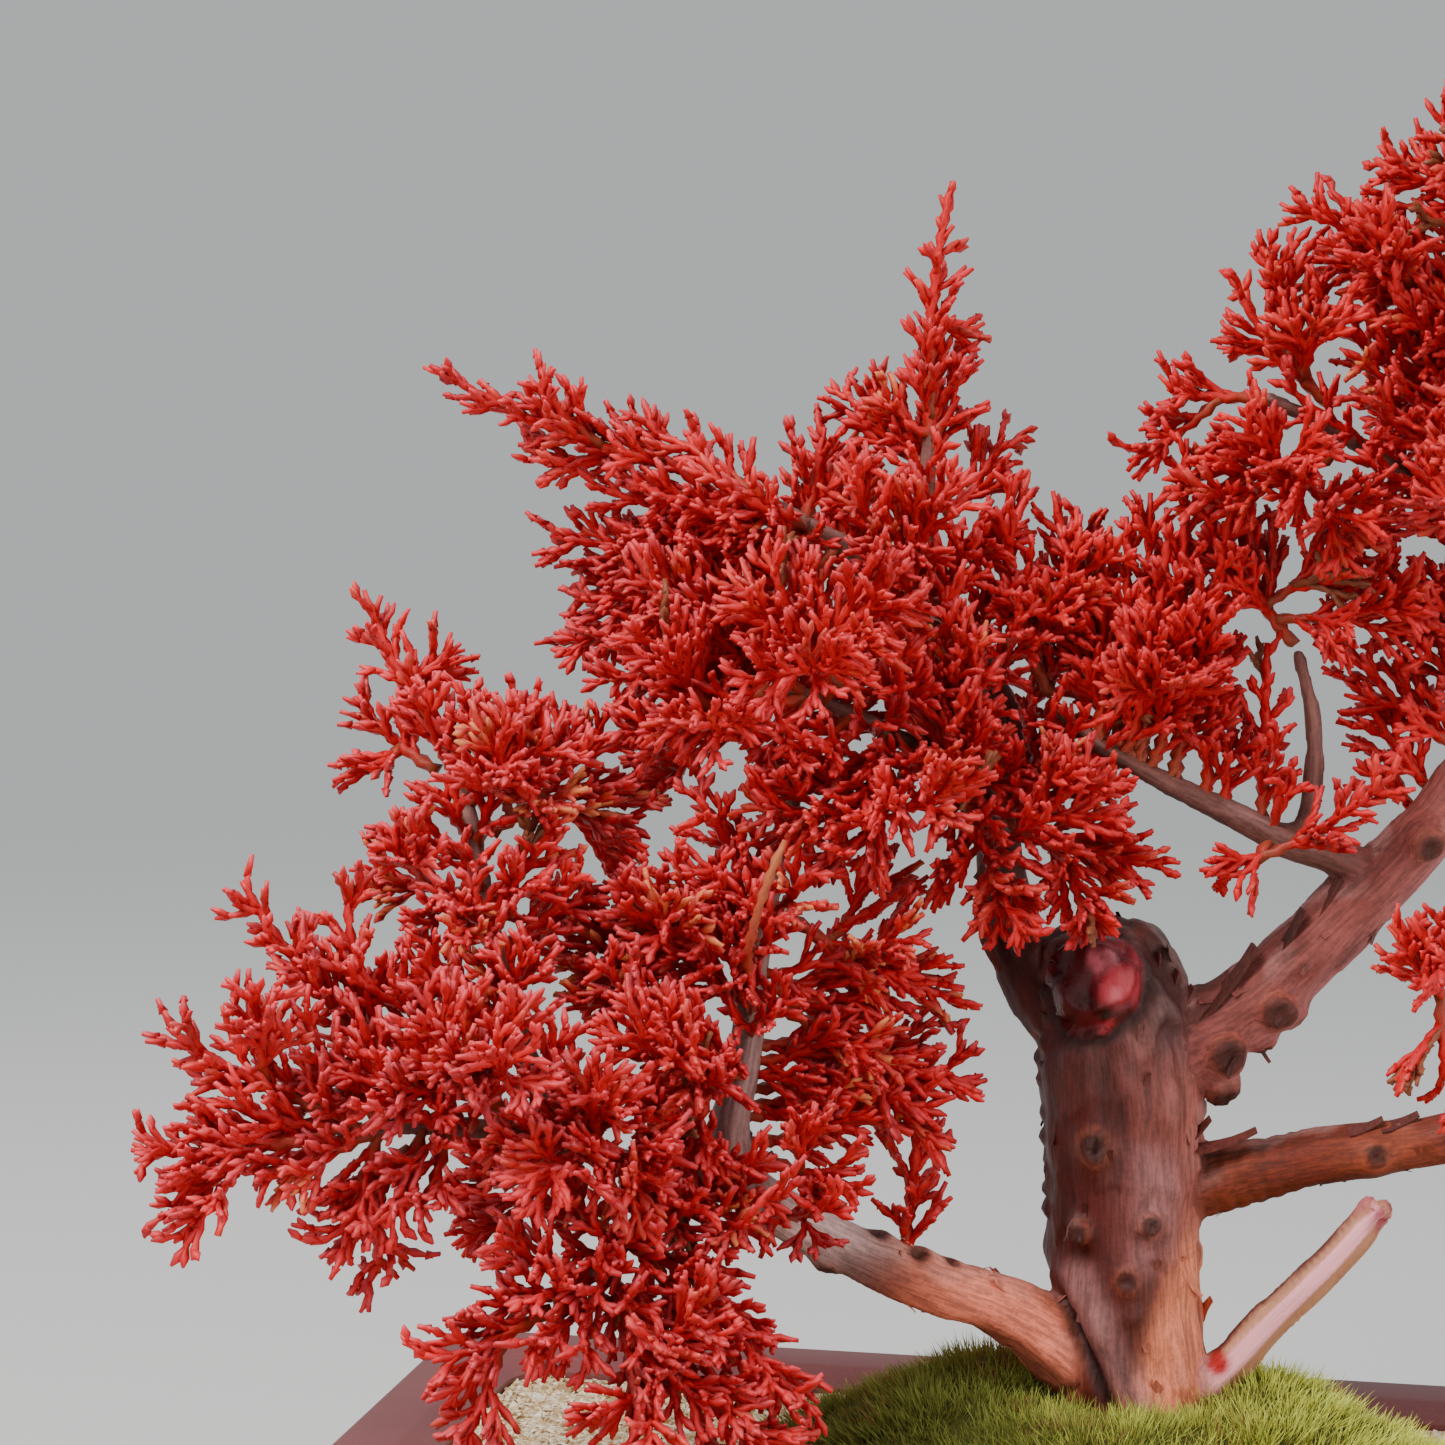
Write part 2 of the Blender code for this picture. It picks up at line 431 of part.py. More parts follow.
def make_pot():
    """The clay pot: lip, walls, floor, four feet and two drain holes."""
    lip_foot = POT_HEIGHT - LIP_FACE
    floor_top = FOOT_HEIGHT + FLOOR_THICKNESS
    wall_foot = FOOT_HEIGHT + WALL_FOOT_ROUND
    floor_edge = floor_top + FLOOR_FILLET
    levels = [
        (outer_inset(FOOT_HEIGHT) + WALL_FOOT_ROUND, FOOT_HEIGHT), (outer_inset(wall_foot), wall_foot),
        (LIP_OVERHANG, lip_foot - LIP_UNDERSIDE), (LIP_BEVEL, lip_foot), (0.0, lip_foot + LIP_BEVEL),
        (0.0, POT_HEIGHT - LIP_BEVEL), (LIP_BEVEL, POT_HEIGHT), (LIP_FLAT, POT_HEIGHT),
        (LIP_FLAT + CHAMFER_WIDTH, POT_HEIGHT - CHAMFER_DEPTH),
        (inner_inset(lip_foot - LIP_FACE), lip_foot - LIP_FACE), (inner_inset(floor_edge), floor_edge),
        (inner_inset(floor_top) + FLOOR_FILLET, floor_top),
    ]
    points, faces = loft([rounded_ring(inset, height) for inset, height in levels])
    pot = solid("pot", in_pot(points), faces, "pot_clay")
    combine(pot, [foot(f"foot_{k}", *corner) for k, corner in enumerate(CORNERS)], "UNION")
    drains = [drain_cutter(f"drain_{k}", side * DRAIN_OFFSET) for k, side in enumerate((-1, 1))]
    return combine(pot, drains, "DIFFERENCE")


def make_screen(name, centre_x):
    """A plastic drain screen: a thin square plate with slots, on the pot's floor."""
    low = FOOT_HEIGHT + FLOOR_THICKNESS + SEAT_GAP
    half = SCREEN_SIDE / 2
    plate = box(name, (centre_x - half, -half, low), (centre_x + half, half, low + SCREEN_THICKNESS),
                "screen_plastic")
    pitch = SCREEN_SIDE / SCREEN_SLOTS
    width = (pitch - SCREEN_BAR) / 2
    reach = half - SCREEN_BAR
    cuts = []
    for k in range(SCREEN_SLOTS):
        x = centre_x - half + (k + 0.5) * pitch
        bottom, top = low - OVERRUN, low + SCREEN_THICKNESS + OVERRUN
        cuts.append(box(f"slot_{k}", (x - width, -reach, bottom), (x + width, reach, top), "screen_plastic"))
    return combine(plate, cuts, "DIFFERENCE")


def moss_wobble(angle):
    """How far the moss outline swings out at an angle, as a factor near 1."""
    return 1 + sum(height * math.sin(count * angle + phase) for height, count, phase in MOSS_WAVES)


def moss_share(x, y):
    """How far a point lies from the moss mound's middle: 0 there, 1 at the mound's edge."""
    dx = (x - TRUNK_IN_POT[0] - MOSS_OFFSET[0]) / MOSS_HALF_LENGTH
    dy = (y - TRUNK_IN_POT[1] - MOSS_OFFSET[1]) / MOSS_HALF_WIDTH
    return math.hypot(dx, dy) / moss_wobble(math.atan2(dy, dx))


def sand_height(x, y):
    """The height of the sand's top: grainy ripples, which leave it flat under the moss."""
    clear = min(max((moss_share(x, y) - 1.0) / SAND_FLAT_MARGIN, 0.0), 1.0)
    grain = 0.5 + 0.5 * noise.noise((x * SAND_RIPPLES_PER_MM, y * SAND_RIPPLES_PER_MM, SAND_DEPTH))
    return POT_HEIGHT - SAND_DEPTH - SAND_RELIEF * clear * grain


def moss_height(x, y):
    """The height of the moss mound's top: a dome with hummocks and small tufts."""
    share = min(moss_share(x, y), 1.0)
    dome = MOSS_EDGE_HEIGHT + MOSS_RISE * (1 - share ** MOSS_FALL)
    for hx, hy, radius, height in HUMMOCKS:
        away = math.hypot(x - TRUNK_IN_POT[0] - hx, y - TRUNK_IN_POT[1] - hy) / radius
        dome += height * math.exp(-away * away) * (1 - share ** (2 * MOSS_FALL))
    grain = noise.noise((x * MOSS_TUFTS_PER_MM, y * MOSS_TUFTS_PER_MM, MOSS_RISE))
    tufts = MOSS_RELIEF * grain * (1 - share ** (2 * MOSS_FALL))
    return POT_HEIGHT - SAND_DEPTH + SEAT_GAP + dome + tufts


def wood_cutters(names):
    """Tubes a gap wider than the wood, which make the plain holes that it stands in."""
    return [branch_tube("hole_" + name, name, SEAT_GAP) for name in names]


def make_soil():
    """The potting grit inside the pot, from the floor to the sand, seated on the floor and screens."""
    low = FOOT_HEIGHT + FLOOR_THICKNESS + SEAT_GAP
    high = POT_HEIGHT - SAND_DEPTH - SAND_THICKNESS - SEAT_GAP
    gap = SEAT_GAP * 1.5
    rings = [rounded_ring(inner_inset(low) + gap + FLOOR_FILLET, low)]
    for z in (low + FLOOR_FILLET, (low + high) / 2, high):
        rings.append(rounded_ring(inner_inset(z) + gap, z))
    points, faces = loft(rings)
    soil = solid("soil", in_pot(points), faces, "potting_grit")
    half = SCREEN_SIDE / 2 + SEAT_GAP
    pockets = [box(f"pocket_{k}", (side * DRAIN_OFFSET - half, -half, low - OVERRUN),
                   (side * DRAIN_OFFSET + half, half, low + SCREEN_THICKNESS + SEAT_GAP), "potting_grit")
               for k, side in enumerate((-1, 1))]
    combine(soil, pockets, "DIFFERENCE")
    return combine(soil, wood_cutters(("trunk",)), "DIFFERENCE")


def make_sand():
    """The beige sand and gravel dressing, with its grain as low relief."""
    inset = LIP_FLAT + CHAMFER_WIDTH + SEAT_GAP * 1.5
    low = POT_HEIGHT - SAND_DEPTH - SAND_THICKNESS
    edge = rounded_ring(inset, low)
    rings = [edge * (0.5, 0.5, 1.0), edge]
    for share in SAND_LEVELS:
        ring = edge * (share, share, 1.0)
        ring[:, 2] = [sand_height(x, y) for x, y, _ in ring]
        rings.append(ring)
    points, faces = loft(rings)
    sand = solid("sand", in_pot(points), faces, "beige_sand")
    return combine(sand, wood_cutters(("trunk",)), "DIFFERENCE")


def make_moss():
    """The moss mound round the trunk's foot, with hummocks and tufts as relief."""
    middle = np.array((TRUNK_IN_POT[0] + MOSS_OFFSET[0], TRUNK_IN_POT[1] + MOSS_OFFSET[1]))
    angles = [2 * math.pi * k / MOSS_SIDES for k in range(MOSS_SIDES)]
    edge = np.array([(MOSS_HALF_LENGTH * moss_wobble(a) * math.cos(a),
                      MOSS_HALF_WIDTH * moss_wobble(a) * math.sin(a)) for a in angles])
    base = np.full(MOSS_SIDES, POT_HEIGHT - SAND_DEPTH + SEAT_GAP)
    rings = [np.column_stack((middle + edge, base))]
    for level in MOSS_LEVELS:
        flat = middle + edge * level
        rings.append(np.column_stack((flat, [moss_height(x, y) for x, y in flat])))
    points, faces = loft(rings)
    moss = solid("moss", in_pot(points), faces, "green_moss")
    return combine(moss, wood_cutters(UNDERGROUND), "DIFFERENCE")


def unit(vector):
    """A vector of length one along this one."""
    return vector / np.linalg.norm(vector)


def tube_rings(path, radii, sides, flute=0.0, seed=0.0):
    """Rings of a tube along a path; the flute is how far its bark ribs and hollows stand."""
    tangents = np.gradient(path, axis=0)
    side = np.cross(tangents[0], SLANT)
    rings = []
    for point, tangent, radius in zip(path, tangents, radii):
        along = unit(tangent)
        side = unit(side - along * np.dot(side, along))
        up = np.cross(along, side)
        ring = []
        for k in range(sides):
            angle = 2 * math.pi * k / sides
            round_about = (FLUTE_RIBS * math.cos(angle), FLUTE_RIBS * math.sin(angle))
            rib = noise.noise((*round_about, seed + point[2] * FLUTE_TWIST))
            reach = radius * (1 + flute * rib * FLUTE_GAIN)
            ring.append(point + reach * (side * math.cos(angle) + up * math.sin(angle)))
        rings.append(np.array(ring))
    return rings


def branch_run(name):
    """The centre line and radii of a branch, as rows of x, y, z and radius."""
    return np.array(BRANCHES[name][1], float)


def branch_tube(piece, name, extra=0.0):
    """A closed tube for a branch, made wider by the extra radius."""
    sides = BRANCHES[name][0]
    run = branch_run(name)
    flute = TRUNK_FLUTE if name in TRUNK_BRANCHES else 0.0
    path = run[:, :3].copy()
    if extra:
        path[0] -= unit(path[1] - path[0]) * extra
        path[-1] += unit(path[-1] - path[-2]) * extra
    rings = tube_rings(path, run[:, 3] + extra, sides, flute, len(name))
    points, faces = loft(rings)
    return solid(piece, on_tree(points), faces, "juniper_bark")


def knot(piece, start, way, radius, length):
    """A short blunt stub that stands out of the bark."""
    start, way = np.array(start), unit(np.array(way))
    path = [start - way * KNOT_ROOT] + [start + way * length * along for along, _ in KNOT_SHAPE]
    radii = [radius * KNOT_ROOT_WIDTH] + [radius * width for _, width in KNOT_SHAPE]
    points, faces = loft(tube_rings(np.array(path), radii, KNOT_SIDES))
    return solid(piece, on_tree(points), faces, "juniper_bark")


def make_wood():
    """Trunk, branches, twigs, knots and the dead stub: grown as one piece."""
    tubes = [branch_tube("tube_" + name, name) for name in BRANCHES]
    stubs = [knot(f"knot_{k}", *row) for k, row in enumerate(KNOTS)]
    wood = tubes[0]
    wood.name = "wood"
    return combine(wood, tubes[1:] + stubs, "UNION")


def wood_segments():
    """Rows of start, end and the two radii for each short length of the wood."""
    rows = []
    for name in BRANCHES:
        run = branch_run(name)
        widen = 1 + TRUNK_FLUTE if name in TRUNK_BRANCHES else 1.0
        for a, b in zip(run[:-1], run[1:]):
            rows.append((*a[:3], *b[:3], a[3] * widen, b[3] * widen))
    return rows


def clearance(start, end, radius, others):
    """The smallest gap between a round rod and the other rods."""
    p, q = others[:, :3], others[:, 3:6]
    d1, d2, r = end - start, q - p, start - p
    a, e = float(np.dot(d1, d1)) + TINY, np.einsum("ij,ij->i", d2, d2) + TINY
    b, c, f = d2 @ d1, r @ d1, np.einsum("ij,ij->i", d2, r)
    below = np.maximum(a * e - b * b, TINY)
    s = np.clip((b * f - c * e) / below, 0, 1)
    t = np.clip((b * s + f) / e, 0, 1)
    s = np.clip((b * t - c) / a, 0, 1)
    apart = np.linalg.norm(start + s[:, None] * d1 - p - t[:, None] * d2, axis=1)
    wide = others[:, 6] * (1 - t) + others[:, 7] * t
    return float(np.min(apart - wide)) - radius


def run_clearance(path, radius, others):
    """The smallest gap between a bent rod and the other rods."""
    return min(clearance(a, b, radius, others) for a, b in zip(path[:-1], path[1:]))


def bent_path(start, end, spans, bend):
    """Points along an arch from start to end, pushed aside by the bend at its middle."""
    steps = np.linspace(0, 1, spans + 1)
    return np.array([start + (end - start) * t + bend * 4 * t * (1 - t) for t in steps])


def clear_path(start, end, spans, radius, others, heel_on=None):
    """An arch between two points, clear of the other rods past its root, bent as little as it can be.

    Where it starts on bark, its heel keeps off that wood too.
    """
    along = unit(end - start)
    side = unit(np.cross(along, STEM_LEVEL))
    up = np.cross(side, along)
    length = np.linalg.norm(end - start)
    best, best_gap = None, -math.inf
    for size in BEND_STEPS:
        for way in range(BEND_WAYS if size else 1):
            angle = 2 * math.pi * way / BEND_WAYS
            bend = (side * math.sin(angle) - up * math.cos(angle)) * length * (size + STEM_SAG) * 0.5
            path = bent_path(start, end, spans, bend)
            free = path.copy()
            free[0] += unit(path[1] - path[0]) * ROOT_LENGTH
            gap = run_clearance(free, radius, others)
            if heel_on is not None:
                gap = min(gap, heel_gap(path[0], unit(path[1] - path[0]), heel_on) + HEEL_EASE)
            if gap > CLEARANCE:
                return path
            if gap > best_gap:
                best, best_gap = path, gap
    return best


def heel_gap(heel, way, wood):
    """The smallest gap between the wood and the round heel of a stem that points this way."""
    side = unit(np.cross(way, SLANT))
    up = np.cross(way, side)
    turns = [2 * math.pi * k / HEEL_POINTS for k in range(HEEL_POINTS)]
    rim = [heel + (side * math.cos(a) + up * math.sin(a)) * STEM_BASE_RADIUS for a in turns]
    return min(clearance(spot, spot + way, 0.0, wood) for spot in rim + [heel])


def stem_root(branch, along, aim, wood):
    """Where a leafy stem starts: a seat's gap off the branch's end, or off its bark."""
    centre, run_way = spot_on(branch_run(branch)[:, :3], along)
    way = unit(aim - centre)
    if along >= 1.0:
        lean = math.acos(min(float(np.dot(run_way, way)), 1.0))
        return centre + way * (SEAT_GAP + STEM_BASE_RADIUS * math.sin(lean)) / math.cos(lean)
    reach = 0.0
    while reach < ROOT_SEARCH and heel_gap(centre + way * reach, way, wood) < SEAT_GAP:
        reach += ROOT_STEP
    return centre + way * reach


def spot_on(path, share):
    """The point at a share of a path's spans, and the way the path runs there."""
    spot = share * (len(path) - 1)
    k = min(int(spot), len(path) - 2)
    return path[k] + (path[k + 1] - path[k]) * (spot - k), unit(path[k + 1] - path[k])


def rods(path, radii):
    """Rows of start, end and the two radii for each length of a path."""
    return [(*a, *b, ra, rb) for a, b, ra, rb in zip(path[:-1], path[1:], radii[:-1], radii[1:])]


def plan_stems():
    """The bent axes of every leafy stem, each clear of all others, and all rods with their owners."""
    wood = np.array(wood_segments())
    rows, owners = wood_segments(), [None] * len(wood)
    plans = []
    for name, branch, along, spread, tips in LEAFY_STEMS:
        tips = np.array(tips, float)
        root = stem_root(branch, along, tips[0], wood)
        others = np.array(rows)
        heel_on = wood if along < 1.0 else None
        axis = clear_path(root, tips[0], STEM_SPANS, STEM_BASE_RADIUS, others, heel_on)
        axes = [(axis, np.linspace(STEM_BASE_RADIUS, STEM_TIP_RADIUS, len(axis)))]
        for share, tip in zip(FORKS_AT, tips[1:]):
            start, _ = spot_on(axis, share)
            fork = clear_path(start, tip, FORK_SPANS, FORK_RADIUS, others)
            axes.append((fork, np.linspace(FORK_RADIUS, STEM_TIP_RADIUS, len(fork))))
        for path, radii in axes:
            rows += rods(path, radii)
            owners += [name] * (len(path) - 1)
        plans.append((name, spread, axes))
    return plans, rows, owners


def plan_cords(name, spread, axes, others):
    """The side cords of one leafy stem: short rods on alternate sides of its axes."""
    rng = random.Random(name)
    cords = []
    for index, (path, radii) in enumerate(axes):
        whole = np.linalg.norm(np.diff(path, axis=0), axis=1).sum()
        first = CORDS_FROM[min(index, 1)]
        count = max(FEWEST_CORDS, round(whole * (1 - first) / CORD_PITCH))
        roll = rng.uniform(0, math.pi)
        for number in range(count):
            share = first + (CORDS_TO - first) * (number + 0.5) / count
            start, along = spot_on(path, share)
            side = unit(np.cross(along, CORD_LEVEL))
            up = np.cross(side, along)
            swing = math.pi * number + CORD_SWAY * math.sin(roll + CORD_TURN * number)
            length = spread * (CORD_REACH - CORD_FALL * share) * rng.uniform(*CORD_LUCK)
            for scale, turn in CORD_TRIES:
                out = side * math.cos(swing + turn) + up * math.sin(swing + turn)
                way = along * math.cos(CORD_ANGLE) + out * math.sin(CORD_ANGLE)
                end = start + way * length * scale
                gap = clearance(start + way * CORD_SUNK, end, CORD_BASE_RADIUS, others)
                if end[2] > LOWEST_LEAF and gap > CLEARANCE:
                    cords.append((start, end))
                    break
    return cords


def rod_solid(piece, path, radii, sides):
    """A closed few-sided rod along a path."""
    points, faces = loft(tube_rings(np.asarray(path), radii, sides))
    return solid(piece, on_tree(points), faces, "red_foliage")


def make_foliage():
    """Every leafy stem: a slim stem, its forks and its side cords, fused into one solid each."""
    plans, rows, owners = plan_stems()
    for name, spread, axes in plans:
        others = np.array([row for row, owner in zip(rows, owners) if owner != name])
        cords = plan_cords(name, spread, axes, others)
        rows += [(*start, *end, CORD_BASE_RADIUS, CORD_TIP_RADIUS) for start, end in cords]
        owners += [name] * len(cords)
        pieces = [rod_solid(f"{name}_axis_{k}", path, radii, STEM_SIDES if k == 0 else CORD_SIDES)
                  for k, (path, radii) in enumerate(axes)]
        pieces += [rod_solid(f"{name}_cord_{k}", cord, (CORD_BASE_RADIUS, CORD_TIP_RADIUS), CORD_SIDES)
                   for k, cord in enumerate(cords)]
        stem = pieces[0]
        stem.name = "leaves_" + name
        combine(stem, pieces[1:], "UNION")


def main():
    """Clear the scene and model every piece."""
    for item in list(bpy.data.objects):
        bpy.data.objects.remove(item)
    make_pot()
    make_screen("drain_screen_left", -DRAIN_OFFSET)
    make_screen("drain_screen_right", DRAIN_OFFSET)
    make_soil()
    make_sand()
    make_moss()
    make_wood()
    make_foliage()


main()
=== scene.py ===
# %% [markdown]
# # A shimpaku juniper bonsai in a clay pot
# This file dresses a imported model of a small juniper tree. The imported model, called the frame, has every
# piece at its real size: pot, soil, sand, moss, wood and 53 leafy stems. Here each piece gets the surface
# that the real one shows. Work sizes are in millimetres, and a mesh is turned to metres when it is made.

# %% Load the frame
import math
import random

import bpy
import numpy as np
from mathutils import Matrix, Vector, noise
from mathutils.bvhtree import BVHTree


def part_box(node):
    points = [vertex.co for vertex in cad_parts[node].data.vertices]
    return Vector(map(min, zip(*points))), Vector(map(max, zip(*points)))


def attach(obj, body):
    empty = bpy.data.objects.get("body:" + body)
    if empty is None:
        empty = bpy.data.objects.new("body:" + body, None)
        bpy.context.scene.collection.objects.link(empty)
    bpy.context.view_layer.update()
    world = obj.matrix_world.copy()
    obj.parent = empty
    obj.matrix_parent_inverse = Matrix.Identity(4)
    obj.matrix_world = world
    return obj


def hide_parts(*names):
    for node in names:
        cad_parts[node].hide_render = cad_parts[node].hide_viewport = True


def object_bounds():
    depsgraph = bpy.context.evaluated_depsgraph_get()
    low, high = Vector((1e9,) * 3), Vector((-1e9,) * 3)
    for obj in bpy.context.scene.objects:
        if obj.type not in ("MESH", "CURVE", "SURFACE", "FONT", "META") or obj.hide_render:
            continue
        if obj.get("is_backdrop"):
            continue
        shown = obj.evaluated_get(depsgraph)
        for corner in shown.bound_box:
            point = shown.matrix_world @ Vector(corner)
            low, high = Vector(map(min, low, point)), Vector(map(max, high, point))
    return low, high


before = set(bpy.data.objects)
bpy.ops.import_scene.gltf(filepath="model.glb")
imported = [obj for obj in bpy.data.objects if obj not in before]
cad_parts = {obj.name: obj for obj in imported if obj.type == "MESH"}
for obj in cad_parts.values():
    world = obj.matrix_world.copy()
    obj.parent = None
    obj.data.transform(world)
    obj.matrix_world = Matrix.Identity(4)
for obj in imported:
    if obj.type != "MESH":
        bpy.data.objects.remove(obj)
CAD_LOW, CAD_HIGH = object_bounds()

print("nodes in the frame:", len(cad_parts))
print("its box in mm:", [round(1000 * side) for side in CAD_HIGH - CAD_LOW])

# %% [markdown]
# ## Where things stand
# The tree was measured from the foot of its trunk: so far to the right, so far back, so far up. The whole
# tree stands turned in its pot. One function takes those measures to the frame, so every later step can
# speak of the tree in its own terms. The pot's place and height are read from the frame.

# %% Places on the tree
MM = 0.001
TREE_TURN = math.radians(12.3)
TRUNK_IN_POT = (6.0, 18.7)
pot_low, pot_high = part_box("pot")
POT_MIDDLE = np.array((pot_low + pot_high) / 2)[:2] / MM
POT_TOP = pot_high.z / MM
TRUNK_FOOT = np.array((POT_MIDDLE[0] + TRUNK_IN_POT[0], POT_MIDDLE[1] + TRUNK_IN_POT[1], POT_TOP))
TURN = np.array(((math.cos(TREE_TURN), math.sin(TREE_TURN), 0.0),
                 (-math.sin(TREE_TURN), math.cos(TREE_TURN), 0.0),
                 (0.0, 0.0, 1.0)))


def on_tree(points):
    """Points given right, back and up from the trunk's foot, in mm, as metres in the frame."""
    return (np.asarray(points, float) @ TURN + TRUNK_FOOT) * MM


def from_tree(points):
    """Points of the frame, in metres, as mm right, back and up from the trunk's foot."""
    return (np.asarray(points, float) / MM - TRUNK_FOOT) @ TURN.T


print("the trunk's foot, in mm:", TRUNK_FOOT.round(1))

# %% [markdown]
# ## Camera
# The photograph was taken from half a metre away with a long lens, looking slightly down. The rim of the
# pot, a rectangle of known size, fixed where the lens was. A camera in Blender looks along its own -Z, so
# it is tipped up by 90 degrees less the downward pitch, and then turned with the tree.

# %% Camera
EYE = (-53.0, -506.7, 152.3)
PITCH_DOWN = math.radians(6.5)
SENSOR = 36.0
PHOTO_SIDE = 1445
FOCAL_PIXELS = 4000.0

camera_data = bpy.data.cameras.new("photo_camera")
camera_data.sensor_width = SENSOR
camera_data.lens = SENSOR * FOCAL_PIXELS / PHOTO_SIDE
camera_data.clip_start = 0.01
camera = bpy.data.objects.new("photo_camera", camera_data)
bpy.context.scene.collection.objects.link(camera)
camera.location = on_tree(EYE)
camera.rotation_euler = (math.pi / 2 - PITCH_DOWN, 0.0, TREE_TURN)
bpy.context.scene.camera = camera
print("lens in mm:", round(camera_data.lens, 1))

# %% [markdown]
# ## Helpers for materials
# Colours are written as hex values, as a paint program shows them. Blender's shaders work with linear
# light, so one function converts them. A second function adds any node: it takes the node's own settings
# and what goes into its inputs, which is either a value or another node's output.

# %% Colours and nodes
def linear(hex_colour):
    """A hex sRGB colour as linear red, green, blue and alpha."""
    channels = [int(hex_colour[i:i + 2], 16) / 255 for i in (1, 3, 5)]
    return [c / 12.92 if c <= 0.04045 else ((c + 0.055) / 1.055) ** 2.4 for c in channels] + [1.0]


def add(material, kind, settings=None, inputs=None):
    """Add a shader node with its settings, and set or link its inputs by name or number."""
    item = material.node_tree.nodes.new("ShaderNode" + kind)
    for key, value in (settings or {}).items():
        setattr(item, key, value)
    for key, value in (inputs or {}).items():
        if isinstance(value, bpy.types.NodeSocket):
            material.node_tree.links.new(value, item.inputs[key])
        else:
            item.inputs[key].default_value = value
    return item


# The setting that makes a Mix node blend colours, which are its inputs 6 and 7, by its input 0
COLOURS = {"data_type": "RGBA"}


def new_material(name, **values):
    """A material with a Principled shader whose sockets have these values."""
    material = bpy.data.materials.new(name)
    material.use_nodes = True
    shader = material.node_tree.nodes["Principled BSDF"]
    for key, value in values.items():
        shader.inputs[key.replace("_", " ")].default_value = value
    return material, shader


def feed(material, shader, **outputs):
    """Link node outputs to the shader's sockets."""
    for key, output in outputs.items():
        material.node_tree.links.new(output, shader.inputs[key.replace("_", " ")])


print("material helpers are ready")

# %% [markdown]
# ## Helpers for meshes
# Blender's operators act on everything that is selected, and loading the frame leaves its nodes selected,
# so each piece starts by deselecting all. What repeats thousands of times, such as scale leaves, moss
# threads or grains, is modelled once and then copied: its points are read, and every copy's points are
# put into one mesh. That is far quicker than thousands of separate objects.

# %% Meshes
def deselect():
    """Leave edit mode and deselect everything."""
    if bpy.context.object and bpy.context.object.mode != "OBJECT":
        bpy.ops.object.mode_set(mode="OBJECT")
    bpy.ops.object.select_all(action="DESELECT")


def select_only(*items):
    """Select these objects alone, and make the first one active."""
    deselect()
    for item in items:
        item.select_set(True)
    bpy.context.view_layer.objects.active = items[0]


def edit_all():
    """Enter edit mode with everything selected."""
    bpy.ops.object.mode_set(mode="EDIT")
    bpy.ops.mesh.select_all(action="SELECT")


def apply_modifier(item, kind, **settings):
    """Add a modifier with these settings and apply it."""
    select_only(item)
    modifier = item.modifiers.new(kind.lower(), kind)
    for key, value in settings.items():
        setattr(modifier, key, value)
    bpy.ops.object.modifier_apply(modifier=modifier.name)


def read_model(item):
    """The points and triangles of a modelled object, which is then removed."""
    item.data.calc_loop_triangles()
    points = np.array([v.co for v in item.data.vertices])
    triangles = np.array([t.vertices[:] for t in item.data.loop_triangles])
    bpy.data.objects.remove(item)
    return points, triangles


def piece_of(name, points, faces, material, colours=None, smooth=True):
    """A finished piece of the object from points in metres, its faces and its material."""
    mesh = bpy.data.meshes.new(name)
    mesh.from_pydata(np.asarray(points).tolist(), [], faces)
    mesh.materials.append(material)
    mesh.polygons.foreach_set("use_smooth", [smooth] * len(mesh.polygons))
    for key, values in (colours or {}).items():
        layer = mesh.attributes.new(key, "FLOAT_COLOR", "POINT")
        layer.data.foreach_set("color", np.asarray(values, np.float32).ravel())
    item = bpy.data.objects.new(name, mesh)
    bpy.context.scene.collection.objects.link(item)
    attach(item, "root")
    return item


def placed_copies(model, places, frames):
    """Points and triangles of many copies of a model. A frame holds the images of its X, Y and Z."""
    points, triangles = model
    copies = places[:, None] + np.einsum("pk,nkc->npc", points, frames)
    shift = (np.arange(len(places)) * len(points))[:, None, None]
    return copies.reshape(-1, 3), (triangles[None] + shift).reshape(-1, 3).tolist()


def triangle_count(item):
    """How many triangles an object's mesh has."""
    return sum(len(p.vertices) - 2 for p in item.data.polygons)


deselect()
print("mesh helpers are ready")

# %% [markdown]
# ## The shape of the wood
# A juniper's trunk and branches grew as one piece, so they are one piece here. Each branch is a row of
# points with a radius at each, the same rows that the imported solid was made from. The last branches end in
# twigs two millimetres thick. Smooth curves through those points give the fine shape.

